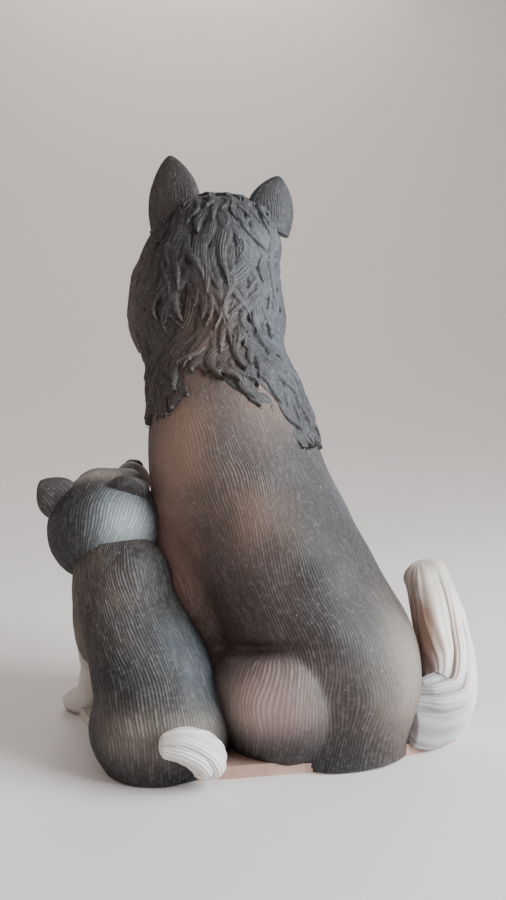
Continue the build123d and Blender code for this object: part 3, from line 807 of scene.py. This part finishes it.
def face_paint(local, size, muzzle_long, top, mask, dark, patches):
    """The mask: pale muzzle, cheeks and brow spots under a dark cap with a stripe to the nose."""
    r = size
    low = 1 / (1 + np.exp((local[..., 2] + 0.10 * r + 0.10 * r * cloud(local, 0.30 * r, 5)) / (0.06 * r)))
    front = 1 / (1 + np.exp(-(local[..., 0] - 0.15 * r) / (0.10 * r)))
    colour = top * (1 - (low * front)[..., None]) + mask * (low * front)[..., None]
    sprays = [
        ((0.82 * r, 0.34 * r, 0.38 * r), (0.16 * r, 0.15 * r, 0.10 * r), mask, 0.85),
        ((0.82 * r, -0.34 * r, 0.38 * r), (0.16 * r, 0.15 * r, 0.10 * r), mask, 0.85),
        ((muzzle_long * 0.8, 0, -0.02 * r), (0.55 * r, 0.16 * r, 0.20 * r), dark, 0.6),
        ((0.97 * r, 0.40 * r, 0.09 * r), (0.22 * r, 0.24 * r, 0.13 * r), dark, 0.95),
        ((0.97 * r, -0.40 * r, 0.09 * r), (0.22 * r, 0.24 * r, 0.13 * r), dark, 0.95),
    ]
    sprays += [([r * m for m in middle], [r * s for s in radii], *rest) for middle, radii, *rest in patches]
    for middle, radii, tint, strength in sprays:
        away = np.sum(((local - np.asarray(middle)) / np.asarray(radii)) ** 2, -1)
        amount = (strength * np.exp(-away))[..., None]
        colour = colour * (1 - amount) + tint * amount
    groove = mouth_groove(local, size, muzzle_long)[..., None]
    return colour * (1 - 0.8 * groove) + 0.35 * dark * 0.8 * groove


def face_piece(name, head, size, muzzle_long, ruff, rows, lanes_round, seed, top, mask, depth, patches=()):
    """A head with fur strokes that run back from the nose, as one closed surface."""
    columns = 4 * lanes_round
    grid = head_grid(head, size, muzzle_long, ruff, rows, columns, 0.97)
    local = to_animal(head, grid)
    lanes = np.arange(columns)[None, :] / 4.0 + 1.6 * cloud(grid, 0.6 * size, seed)
    relief = strokes(lanes, local[..., 0], 0.30 * size, seed + 1)
    bare = np.clip((local[..., 0] - muzzle_long + 0.1 * size) / (0.2 * size), 0, 1)
    relief = relief * (1 - bare) + 0.7 * bare
    lift = depth * (relief - 0.7) + 0.15 * depth * cloud(grid, 0.2 * size, seed + 2)
    lift = lift - 0.055 * size * mouth_groove(local, size, muzzle_long)
    grid = grid + outward(grid) * lift[..., None]
    colour = face_paint(local, size, muzzle_long, top, mask, paint(40, 36, 36), patches)
    return clay_surface(name, grid, colour, relief)


def small_ball(middle, radii, frame_of_head, rows=28, columns=40):
    """An oval ball as rings from its back to its front, in an animal's own directions."""
    angle = np.linspace(0.02, np.pi - 0.02, rows)[:, None]
    turn = np.linspace(0, 2 * np.pi, columns, endpoint=False)[None, :]
    ball = np.stack(
        [
            -np.cos(angle) * radii[0] + 0 * turn,
            np.sin(angle) * np.cos(turn) * radii[1],
            np.sin(angle) * np.sin(turn) * radii[2],
        ],
        -1,
    )
    return to_world(frame_of_head, ball + np.asarray(middle))


def glossy_dab(name, roughness):
    """Dark gloss glaze, dabbed over the eyes and the nose."""
    finish = Finish(name)
    coat = finish.node("ShaderNodeAttribute", {"attribute_name": "paint"}, {}, "Color")
    places = finish.node("ShaderNodeTexCoord", {}, {}, "Object")
    grain = finish.node("ShaderNodeTexNoise", {}, {"Vector": places, "Scale": 1400.0}, "Fac")
    finish.feed(finish.shader.inputs["Base Color"], coat)
    finish.feed(finish.shader.inputs["Roughness"], roughness + (grain - 0.5) * 0.12)
    return finish.material


def eyes_and_nose(name, head, size, muzzle_long, iris, slot):
    """Two eyeballs with painted irises, and a nose pad with two nostrils, as closed balls."""
    eye_finish = glossy_dab(name + "_eye_gloss", 0.16)
    for side, word in ((1, "left"), (-1, "right")):
        middle = np.array([0.845, 0.37 * side, 0.085]) * size
        ball = small_ball(middle, np.full(3, 0.150 * size), head)
        look = np.array([0.93, 0.30 * side, 0.05])
        look /= np.linalg.norm(look)
        from_middle = to_animal(head, ball) - middle
        facing = from_middle @ look / (0.150 * size)
        ring = np.clip((facing - 0.62) / 0.05, 0, 1)[..., None]
        pupil = np.clip((facing - 0.90) / 0.02, 0, 1)[..., None]
        shine = (from_middle / (0.15 * size)) @ np.array([0.82, 0.30 * side, 0.45])
        glint = np.clip((shine - 0.965) / 0.01, 0, 1)[..., None]
        colour = paint(58, 46, 42) * (1 - ring) + iris * ring
        colour = colour * (1 - pupil) + paint(12, 10, 10) * pupil
        colour = colour * (1 - glint) + paint(235, 235, 232) * glint
        piece = clay_surface(f"{name}_{word}_eye", ball, colour, np.full(ball.shape[:2], 0.7))
        keep_piece(piece, eye_finish, slot)
    pad_radii = np.array([0.15, 0.19, 0.145]) * size
    pad = small_ball((muzzle_long + 0.20 * size, 0, -0.30 * size), pad_radii, head, 40, 60)
    local = to_animal(head, pad)
    dent = 0.0
    for side in (1, -1):
        hole = np.array([muzzle_long + 0.335 * size, 0.095 * side * size, -0.32 * size])
        dent = dent + np.exp(-np.sum(((local - hole) / (np.array([0.09, 0.045, 0.04]) * size)) ** 2, -1))
    split = np.exp(-((local[..., 1] / (0.018 * size)) ** 2)) * (local[..., 2] < -0.33 * size)
    pad = pad - outward(pad) * (0.07 * size * dent + 0.02 * size * split)[..., None]
    # The nostrils are darkened as painted shade in their pits.
    colour = paint(34, 30, 31) * (1 - 0.7 * np.clip(dent, 0, 1))[..., None]
    piece = clay_surface(name + "_nose", pad, colour, np.full(pad.shape[:2], 0.6))
    keep_piece(piece, glossy_dab(name + "_nose_gloss", 0.34), slot)


face_finish = painted_clay("face_paint", drybrush_highlight=0.10, groove_shade=0.6, speck=0.25)
cap_colour, mask_colour = paint(52, 48, 48), paint(196, 180, 166)
piece = face_piece("mother_face", mother_head, 18.8, 33.0, 0.42, 170, 112, 31, cap_colour, mask_colour, 0.34)
keep_piece(piece, face_finish, "dark_mane", "mother_head")
eyes_and_nose("mother", mother_head, 18.8, 33.0, paint(118, 156, 186), "dark_mane")

# ---------------------------------------------------------------- mother's ears
# Pressed ears, round behind and cupped in front, each stuck in the skull on a round tenon. The
# left one stands up; the right one is shorter and leans out.


def ear_shell(name, root, tip, facing, width, thickness, bow, colours, finish, slot, node, lanes_round=56):
    """Rings from the root to the tip of an ear. The half width follows (1 - u**2.6)**0.66, and the
    outline across is a crescent: a rounded back, and a front pressed in by a cosine."""
    back_paint, inside_paint = colours
    columns = 4 * lanes_round
    u = np.linspace(0.0, 1.0, 84)[:, None]
    angle = np.linspace(0, 2 * np.pi, columns, endpoint=False)[None, :]
    rise = np.asarray(tip, float) - root
    height = np.linalg.norm(rise)
    rear = np.asarray(facing, float) - rise * (rise @ facing) / height**2
    rear /= np.linalg.norm(rear)
    side = np.cross(rise / height, rear)
    half = 0.5 * width * ((1 - u**2.6) ** 0.66 * (0.90 + 0.20 * np.sin(np.pi * u)) + 0.012)
    thick = thickness * ((1 - u**1.7) ** 0.7 * 0.9 + 0.012)
    middle = np.cos(angle)
    behind = np.clip(np.sin(angle), 0, None) ** 0.9
    front = np.clip(-np.sin(angle), 0, None) ** 0.5
    pressed = (1 - middle**4) * np.sin(np.pi * np.clip(0.12 + 0.9 * u, 0, 1)) ** 0.6
    depth = 0.62 * thick * behind - front * thick * (0.40 - 0.62 * pressed)
    across = middle * half + bow * np.sin(np.pi * u)
    grid = root + u[..., None] * rise + across[..., None] * side + depth[..., None] * rear
    lanes = np.arange(columns)[None, :] / 4.0 + 1.5 * cloud(grid, 6.0, 61)
    relief = strokes(lanes, u * height + 0 * angle, 6.5, 62)
    ridge = 0.22 * (relief - 0.7) * np.clip(1.15 - u, 0, 1)
    grid = grid + outward(grid) * ridge[..., None]
    inside = np.clip(1.5 * front * (1 - middle**6) - 0.45, 0, 1)[..., None]
    inside = inside * np.clip(2.5 - 2.5 * u, 0, 1)[..., None]
    colour = airbrushed(grid, back_paint, [(tip, (5, 5, 6), back_paint * 0.7, 0.5)])
    colour = colour * (1 - inside) + inside_paint * inside
    piece = clay_surface(name, grid, colour, relief)
    keep_piece(piece, finish, slot, node)


for word, lean in (("left", 1.0), ("right", -1.0)):
    low, high = box_mm(f"mother_{word}_ear")
    root = np.array([(low[0] + high[0]) / 2 - 1.0 * lean, skull[1] + 2.5, skull[2] + 4.5])
    tip = np.array([(low[0] + high[0]) / 2 + (0.6 if lean > 0 else -2.2), skull[1] + 1.5, high[2] - 0.4])
    ear_shell(
        f"mother_{word}_ear_shell",
        root,
        tip,
        (0.35 * lean, 1.0, 0.0),
        16.0 if lean > 0 else 14.0,
        6.0,
        0.5 * lean,
        (paint(60, 55, 54) if lean > 0 else paint(30, 30, 33), paint(150, 126, 116)),
        face_finish,
        "dark_mane",
        f"mother_{word}_ear",
    )

# ---------------------------------------------------------------- mother's forelegs
# Straight legs from the chest to broad paws, each modelled with four toes and engraved fur.


def furred_piece(name, form, rings, colour_of, finish, slot, nodes, fur, seed):
    """A piece of engraved fur over a form. rings is the middles, the two directions of the rings
    and their lift; fur is the number of strokes round, their length and their depth."""
    middles, across, upright, lift, reach = rings
    lanes_round, length, depth = fur
    columns = POINTS_PER_STROKE * lanes_round
    grid = skin(form, middles, across, upright, columns, reach, 0.3, lift)
    out = outward(grid)
    lanes = np.arange(columns)[None, :] / POINTS_PER_STROKE + 1.6 * cloud(grid, 11.0, seed)
    steps = np.linalg.norm(np.diff(grid, axis=0), axis=-1).mean(1)
    run = np.concatenate([[0.0], np.cumsum(steps)])[:, None]
    relief = strokes(lanes, run + 0 * lanes, length, seed + 1)
    girth = np.linalg.norm(grid - grid.mean(1, keepdims=True), axis=-1).mean(1)
    calm = np.clip(girth / (0.45 * girth.max()), 0, 1)[:, None]
    relief = 0.7 + (relief - 0.7) * calm
    grid = grid + out * (depth * (relief - 0.7) + 0.22 * cloud(grid, 5.0, seed + 2) * calm)[..., None]
    piece = clay_surface(name, grid, colour_of(grid, out), relief)
    keep_piece(piece, finish, slot, *nodes)
    return grid


def standing_rings(animal, path, bottom, top, rows, dome_rows, reach):
    """Level rings up a path given as (height, ahead, left), and a dome of rings that closes the
    top. Returns what furred_piece takes."""
    heights, ahead, left = np.array(path, float).T
    z = np.concatenate([np.linspace(bottom, top, rows), np.full(dome_rows, top)])
    lift = np.concatenate([np.zeros(rows), np.linspace(0.02, 1.54, dome_rows)])
    local = np.stack([eased(heights, ahead, z), eased(heights, left, z), z], -1)
    across, upright = [np.broadcast_to(axis, (len(z), 3)) for axis in animal[1][:2]]
    return to_world(animal, local), across, upright, lift, reach


def toes(local, front, middle_left, up, spread, radii):
    """Four toes side by side, the inner pair further ahead."""
    made = []
    for place, back in ((-1.5, 1.5), (-0.5, 0.0), (0.5, 0.0), (1.5, 1.5)):
        made.append(oval(local, (front - back, middle_left + place * spread, up), radii, 14))
    return made


def leg_colour(top, foot, height, pad):
    """Paint that changes up the leg from the paw, with a darker line where it meets the floor."""

    def colour(grid, out):
        share = (grid[..., 2] - 0.4 * height) / (0.6 * height) + 0.2 * cloud(grid, 6.0, 9)
        share = np.clip(share, 0, 1)[..., None]
        mixed = foot * (1 - share) + top * share
        under = np.clip(1.3 - grid[..., 2] / 1.4, 0, 0.75)[..., None]
        return mixed * (1 - under) + pad * under

    return colour


leg_finish = painted_clay("leg_paint", drybrush_highlight=0.2, groove_shade=0.5)
pale_leg, warm_leg, sole = paint(186, 172, 160), paint(122, 106, 98), paint(150, 112, 94)
for word, side in (("left", 1), ("right", -1)):
    middle = 12.0 * side

    def foreleg_form(points):
        local = to_animal(mother, points)
        leg = [
            limb(local, (40.0, middle, 74.0), (45.2, middle, 42.0), 9.0, 6.8),
            limb(local, (45.2, middle, 42.0), (48.2, middle, 14.0), 6.8, 5.4),
            limb(local, (48.2, middle, 14.0), (50.0, middle, 5.0), 5.4, 5.6),
            oval(local, (46.0, middle, 13.5), (4.2, 4.4, 5.0)),
            oval(local, (52.6, middle, 4.2), (8.6, 7.2, 5.4), -8),
        ]
        paw = toes(local, 57.6, middle, 3.2, 3.3, (4.4, 2.1, 3.2))
        return merged([merged(leg, 1.2)] + paw, 0.28)

    profile = [(FOOT, 51.5), (5.0, 50.5), (14.0, 48.2), (42.0, 45.2), (70.0, 40.5)]
    path = [(height, ahead, middle) for height, ahead in profile]
    furred_piece(
        f"mother_{word}_foreleg_and_paw",
        foreleg_form,
        standing_rings(mother, path, FOOT, 68.0, 190, 30, 26.0),
        leg_colour(warm_leg, pale_leg, 46.0, sole),
        leg_finish,
        "mother_coat",
        [f"mother_{word}_foreleg"],
        (62, 6.0, 0.24),
        71 + side,
    )

# ---------------------------------------------------------------- mother's hind feet
# Long feet laid flat in front of the haunches, with toes like those of the forepaws.
for word, side in (("left", 1), ("right", -1)):
    middle = 17.0 * side

    def hind_foot_form(points):
        local = to_animal(mother, points)
        sole_of_foot = oval(local, (22.0, middle, 4.0), (14.5, 6.4, 5.6), 4)
        heel_of_foot = oval(local, (14.0, middle, 7.0), (9.0, 6.4, 7.0))
        foot = [sole_of_foot, heel_of_foot]
        return merged([merged(foot, 1.0)] + toes(local, 33.0, middle, 3.0, 3.0, (4.2, 2.0, 3.0)), 0.28)

    furred_piece(
        f"mother_{word}_hind_paw",
        hind_foot_form,
        standing_rings(mother, [(FOOT, 24.0, middle), (4.0, 24.0, middle)], FOOT, 4.0, 26, 70, 30.0),
        leg_colour(warm_leg, pale_leg, 9.0, sole),
        leg_finish,
        "mother_coat",
        [f"mother_{word}_hind_foot"],
        (70, 5.0, 0.18),
        81 + side,
    )

# ---------------------------------------------------------------- mother's tail
# A thick brush that leaves the rump low on the right, curls round it and stands up. It is rolled
# from a solid coil, stuck in on a tenon and combed into long twisted locks.


def brush_tail(
    name, animal, path, girths, flat, locks_round, twist, colour_of, finish, slot, nodes, rows, seed
):
    """A profile carried along a path: an oval flat times as wide as it is thick, lobed by
    locks_round locks that twist as they run, with wire marks. Ends taper by a half circle."""
    u = np.linspace(0.0, 1.0, rows)
    knots = np.linspace(0.0, 1.0, len(path))
    local = np.stack([eased(knots, np.array(path, float)[:, k], u) for k in range(3)], -1)
    middles = to_world(animal, local)
    heading = np.gradient(middles, axis=0)
    heading /= np.linalg.norm(heading, axis=-1, keepdims=True)
    toward = animal[1][0] * 0.9 + animal[1][1] * 0.1
    across = np.cross(heading, toward)
    across /= np.linalg.norm(across, axis=-1, keepdims=True)
    upright = np.cross(across, heading)
    angle = np.linspace(0, 2 * np.pi, 240, endpoint=False)[None, :]
    radius = eased(knots, girths, u) * np.clip(1 - ((u - 0.93) / 0.07).clip(0, 1) ** 2, 0, 1) ** 0.5
    radius = radius * np.clip(u / 0.05, 0.25, 1) ** 0.5 + 0.03
    swirl = angle + twist * u[:, None] + 0.35 * np.sin(5 * u[:, None] + 2 * angle)
    lobe = np.abs(np.cos(0.5 * locks_round * swirl)) ** 0.7
    marks = np.cos(0.5 * locks_round * 9 * swirl + 3 * np.sin(7 * u[:, None]))
    relief = 0.25 + 0.50 * lobe + 0.20 * marks * lobe
    swell = radius[:, None] * (0.86 + 0.16 * lobe) + 0.10 * marks * np.clip(radius[:, None] / 3, 0, 1)
    grid = (
        middles[:, None, :]
        + (np.cos(angle) * swell)[..., None] * across[:, None, :]
        + (np.sin(angle) * swell * flat)[..., None] * upright[:, None, :]
    )
    bumps = 0.35 * cloud(grid, 6.0, seed) * np.clip(radius[:, None] / 3, 0, 1)
    grid = grid + outward(grid) * bumps[..., None]
    grid[..., 2] = np.maximum(grid[..., 2], FOOT)
    piece = clay_surface(name, grid, colour_of(grid, outward(grid)), relief)
    keep_piece(piece, finish, slot, *nodes)


white, peach = paint(222, 218, 212), paint(182, 146, 128)
tail_finish = painted_clay("cream_tail_paint", drybrush_highlight=0.22, groove_shade=0.42, roughness=0.5)
low, high = box_mm("mother_tail")


def mother_tail_colour(grid, out):
    """White outside, peach-brown painted shade on the side that faces the back, blue-grey round the root."""
    # Painted shade: faces turned away from the window, towards the back, go peach-brown.
    shade_facing_back = np.clip(out[..., 0] * 1.4 + 0.25 + 0.3 * cloud(grid, 5.0, 90), 0, 1)[..., None]
    shade_facing_back = shade_facing_back * np.clip((high[2] + 2 - grid[..., 2]) / 14.0, 0, 1)[..., None]
    colour = white * (1 - shade_facing_back) + peach * shade_facing_back
    tip = np.clip((grid[..., 2] - 32.0) / 12.0, 0, 0.6)[..., None]
    colour = colour * (1 - tip) + paint(164, 148, 134) * tip
    from_root = np.linalg.norm(grid - np.array([-41.0, 26.0, 9.0]), axis=-1)
    root = np.clip(1.5 - from_root / 12.0, 0, 0.85)[..., None]
    return colour * (1 - root) + paint(128, 130, 132) * root


mother_tail_path = [
    (-17.0, -5.0, 8.0), (-21.0, -13.0, 7.8), (-21.5, -22.0, 10.0), (-19.0, -28.0, 17.5),
    (-15.5, -30.4, 27.0), (-12.5, -30.4, 36.0), (-10.0, -28.4, 44.2),
]
brush_tail(
    "mother_tail_brush", mother, mother_tail_path, [7.0, 8.8, 9.4, 9.4, 8.8, 7.6, 6.0], 0.80, 7, 1.5,
    mother_tail_colour, tail_finish, "cream_tail", ["mother_tail"], 260, 91,
)

# ---------------------------------------------------------------- pup's body
# The pup's hollow trunk, pared where it leans on the mother's flank and luted to her. It has
# the same engraved fur, airbrushed dark, with a painted cool highlight down the right of its back
# and painted shade low at its rear.
pup = heading_frame(to_world(mother, (20.4, 38.0, 0.0)), 40.0)
pup_heights = np.array([0.0, 3.0, 11.6, 21.0, 31.0, 40.0, 46.0, 52.0])
pup_ahead = [1.4, 1.4, 1.9, 7.2, 13.4, 20.6, 24.0, 26.0]
pup_half_length = [13.0, 14.0, 15.2, 14.2, 12.6, 11.2, 10.0, 9.0]
pup_half_width = [14.6, 15.4, 16.4, 15.6, 14.6, 12.8, 10.8, 9.5]


def pup_form(points):
    """Oval sections from the seat to the neck, with hips, shoulders and a soft chest."""
    local = to_animal(pup, points)
    height = local[..., 2]
    ahead = local[..., 0] - eased(pup_heights, pup_ahead, height)
    half_length = eased(pup_heights, pup_half_length, height)
    half_width = eased(pup_heights, pup_half_width, height)
    share = np.sqrt((ahead / half_length) ** 2 + (local[..., 1] / half_width) ** 2)
    forms = [np.maximum((share - 1) * half_length, height - 52.0)]
    forms.append(oval(local, (26.0, 0.0, 34.0), (7.0, 9.0, 12.0), -20))
    forms.append(oval(local, (21.5, -0.5, 41.5), (11.5, 12.6, 12.0)))
    for side in (1, -1):
        forms.append(oval(local, (4.5, 9.0 * side, 9.0), (12.0, 8.5, 9.8), 8))
        forms.append(oval(local, (22.0, 8.0 * side, 31.0), (6.5, 5.0, 10.0), -12))
    return merged(forms, 0.9)


pup_finish = painted_clay("pup_coat_paint", drybrush_highlight=0.11, groove_shade=0.6, speck=0.22)
night, window_highlight_grey, sand = paint(31, 29, 30), paint(98, 107, 114), paint(130, 121, 110)


def pup_body_colour(grid, out):
    local = [
        # painted highlight: cool blue-grey on the right of the back, the side towards the window
        ((-8.0, -13.0, 30.0), (14, 8, 15), window_highlight_grey, 0.75),
        ((-13.0, -12.0, 20.0), (10, 6, 9), window_highlight_grey, 0.5),
        ((-14.0, 4.0, 11.0), (10, 14, 5.0), sand, 0.75),
        ((-6.0, 15.0, 12.0), (10, 8, 6.0), sand, 0.6),
        # painted shade low at the rear, by the floor
        ((-13.0, 3.0, 3.0), (12, 16, 3.4), night * 0.7, 0.85),
        ((30.0, 2.0, 30.0), (12, 14, 18), paint(150, 130, 116), 0.8),
        ((0.0, 14.0, 38.0), (10, 6, 8), paint(112, 104, 98), 0.5),
    ]
    return airbrushed(grid, night, placed(pup, local))


pup_path = [(h, a, 0.0) for h, a in zip(pup_heights, pup_ahead)]
furred_piece(
    "pup_trunk", pup_form, standing_rings(pup, pup_path, FOOT, 47.0, 190, 24, 34.0),
    pup_body_colour, pup_finish, "pup_coat", ["pup_body"], (108, 6.0, 0.22), 101,
)

# ---------------------------------------------------------------- pup's head
# A small head with a round skull and a short muzzle held up towards the mother. It is cast by
# itself and set in the pup's neck on a spigot.
head_low, head_high = box_mm("pup_head")
pup_skull = np.array([(head_low[0] + head_high[0]) / 2, head_high[1] - 14.5, 54.7])
gaze = np.array([-0.164, -0.697, 0.697])
gaze /= np.linalg.norm(gaze)
gaze_left = np.cross([0.0, 0.0, 1.0], gaze)
gaze_left /= np.linalg.norm(gaze_left)
pup_head = (pup_skull, np.array([gaze, gaze_left, np.cross(gaze, gaze_left)]))
pup_cap, pup_mask = paint(42, 40, 41), paint(176, 162, 150)
pup_patches = [
    # painted highlight: a cool blue-grey patch on the right of the head, towards the window
    ((-0.30, -0.62, 0.52), (0.65, 0.42, 0.75), paint(150, 160, 164), 0.9),
    ((0.62, 0.05, 0.66), (0.26, 0.55, 0.26), paint(150, 138, 124), 0.75),
]
piece = face_piece("pup_face", pup_head, 15.7, 22.8, 0.44, 150, 96, 131, pup_cap, pup_mask, 0.24, pup_patches)
keep_piece(piece, pup_finish, "pup_coat", "pup_head")
eyes_and_nose("pup", pup_head, 15.7, 22.8, paint(112, 140, 162), "pup_coat")

# ---------------------------------------------------------------- pup's ears
# Small soft ears: the left one sticks out to the side, and the right one is laid back flat.
for word, root_shift, tip_shift, facing in (
    ("left", (9.5, 2.0, 5.5), (16.2, 3.5, 12.6), (0.2, 1.0, 0.4)),
    ("right", (-7.0, 3.0, 9.0), (-6.6, 8.4, 14.4), (0.0, 1.0, -0.3)),
):
    ear_shell(
        f"pup_{word}_ear_shell", pup_skull + root_shift, pup_skull + tip_shift, facing, 11.0, 4.4, 0.2,
        (paint(64, 60, 59), paint(150, 130, 120)), pup_finish, "pup_coat", f"pup_{word}_ear", 36,
    )

# ---------------------------------------------------------------- pup's legs and feet
# Thin forelegs with round white paws, and hind feet tucked against the mother.
paw_finish = painted_clay("pale_paw_paint", drybrush_highlight=0.16, groove_shade=0.4)
milk, heel = paint(206, 200, 192), paint(168, 136, 124)
for word, side, ankle, stand in (("left", 1, 44.4, -2.8), ("right", -1, 39.6, -11.5)):
    shoulder = 6.2 * side

    def pup_leg_form(points):
        local = to_animal(pup, points)
        leg = [
            limb(local, (24.5, shoulder, 36.0), (ankle - 4.0, stand, 12.0), 6.0, 3.9),
            limb(local, (ankle - 4.0, stand, 12.0), (ankle, stand, 3.6), 3.9, 3.9),
            oval(local, (ankle + 3.2, stand, 3.0), (6.6, 5.2, 4.0), -8),
        ]
        return merged([merged(leg, 0.9)] + toes(local, ankle + 7.2, stand, 2.3, 2.35, (2.9, 1.5, 2.3)), 0.2)

    path = [(FOOT, ankle + 2.0, stand), (4.0, ankle, stand)]
    path += [(12.0, ankle - 4.0, stand), (36.0, 24.5, shoulder)]
    furred_piece(
        f"pup_{word}_foreleg_and_paw", pup_leg_form, standing_rings(pup, path, FOOT, 34.0, 120, 24, 18.0),
        leg_colour(paint(160, 148, 138), milk, 30.0, heel), paw_finish, "pale_paw", [f"pup_{word}_foreleg"],
        (44, 5.0, 0.16), 141 + side,
    )
for word, middle in (("left", 3.1), ("right", -8.1)):

    def pup_foot_form(points):
        local = to_animal(pup, points)
        foot = oval(local, (18.0, middle, 2.8), (8.0, 4.4, 4.0))
        return merged([foot] + toes(local, 24.0, middle, 2.0, 2.0, (2.8, 1.3, 2.1)), 0.2)

    furred_piece(
        f"pup_{word}_hind_paw", pup_foot_form,
        standing_rings(pup, [(FOOT, 19.0, middle), (2.6, 19.0, middle)], FOOT, 2.6, 18, 50, 20.0),
        leg_colour(paint(160, 148, 138), milk, 6.0, heel), paw_finish, "pale_paw", [f"pup_{word}_hind_foot"],
        (48, 4.0, 0.14), 151,
    )

# ---------------------------------------------------------------- pup's tail
# A short coil curled across the rump, tip to the left, painted almost white.
pup_tail_path = [
    (-12.5, 0.6, 4.4), (-16.0, 0.2, 6.6), (-16.6, 3.2, 9.6), (-15.0, 7.4, 11.4), (-12.4, 11.6, 11.4),
]


def pup_tail_colour(grid, out):
    under = np.clip(1.4 - grid[..., 2] / 2.2, 0, 0.6)[..., None]
    return white * (1 - under) + paint(184, 160, 140) * under


brush_tail(
    "pup_tail_brush", pup, pup_tail_path, [3.6, 4.4, 4.4, 3.9, 2.4], 0.95, 5, 1.2,
    pup_tail_colour, tail_finish, "cream_tail", ["pup_tail"], 190, 161,
)

# ---------------------------------------------------------------- base slab
# The thin slab under the group, cut from rolled clay and left bare on its edge. It is kept in
# from the edge of the bodies, and is paler by the pup's feet.
base_finish = Finish("bare_base_clay")
places = base_finish.node("ShaderNodeTexCoord", {}, {}, "Object")
noise = "ShaderNodeTexNoise"
cloudy = base_finish.node(noise, {}, {"Vector": places, "Scale": 90.0, "Detail": 5.0}, "Fac")
grit = base_finish.node(noise, {}, {"Vector": places, "Scale": 1300.0, "Detail": 2.0}, "Fac")


def blended(amount, under, over):
    """One colour over another in the base slab's material."""
    settings = {"data_type": "RGBA", "blend_type": "MIX"}
    return base_finish.node("ShaderNodeMix", settings, {0: amount, 6: under, 7: over}, 2)


dark_clay, pale_clay = (0.33, 0.20, 0.15, 1), (0.56, 0.41, 0.34, 1)
bare_tone = blended(((cloudy - 0.35) * 2.2).clamped(), dark_clay, pale_clay)
across = base_finish.node("ShaderNodeSeparateXYZ", {}, {"Vector": places}, "X")
clay_tone = blended(((across - 0.012) * 60.0).clamped(), bare_tone, (0.46, 0.42, 0.38, 1))
gritty = blended(((grit - 0.66) * 8.0).clamped() * 0.5, clay_tone, (0.24, 0.15, 0.12, 1))
base_finish.feed(base_finish.shader.inputs["Base Color"], gritty)
base_finish.feed(base_finish.shader.inputs["Roughness"], 0.8 + (cloudy - 0.5) * 0.2)
dents = {"Height": grit, "Strength": 0.4, "Distance": 0.0003}
base_finish.feed(base_finish.shader.inputs["Normal"], base_finish.node("ShaderNodeBump", {}, dents, "Normal"))
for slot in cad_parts["base_plate"].material_slots:
    slot.material = base_finish.material
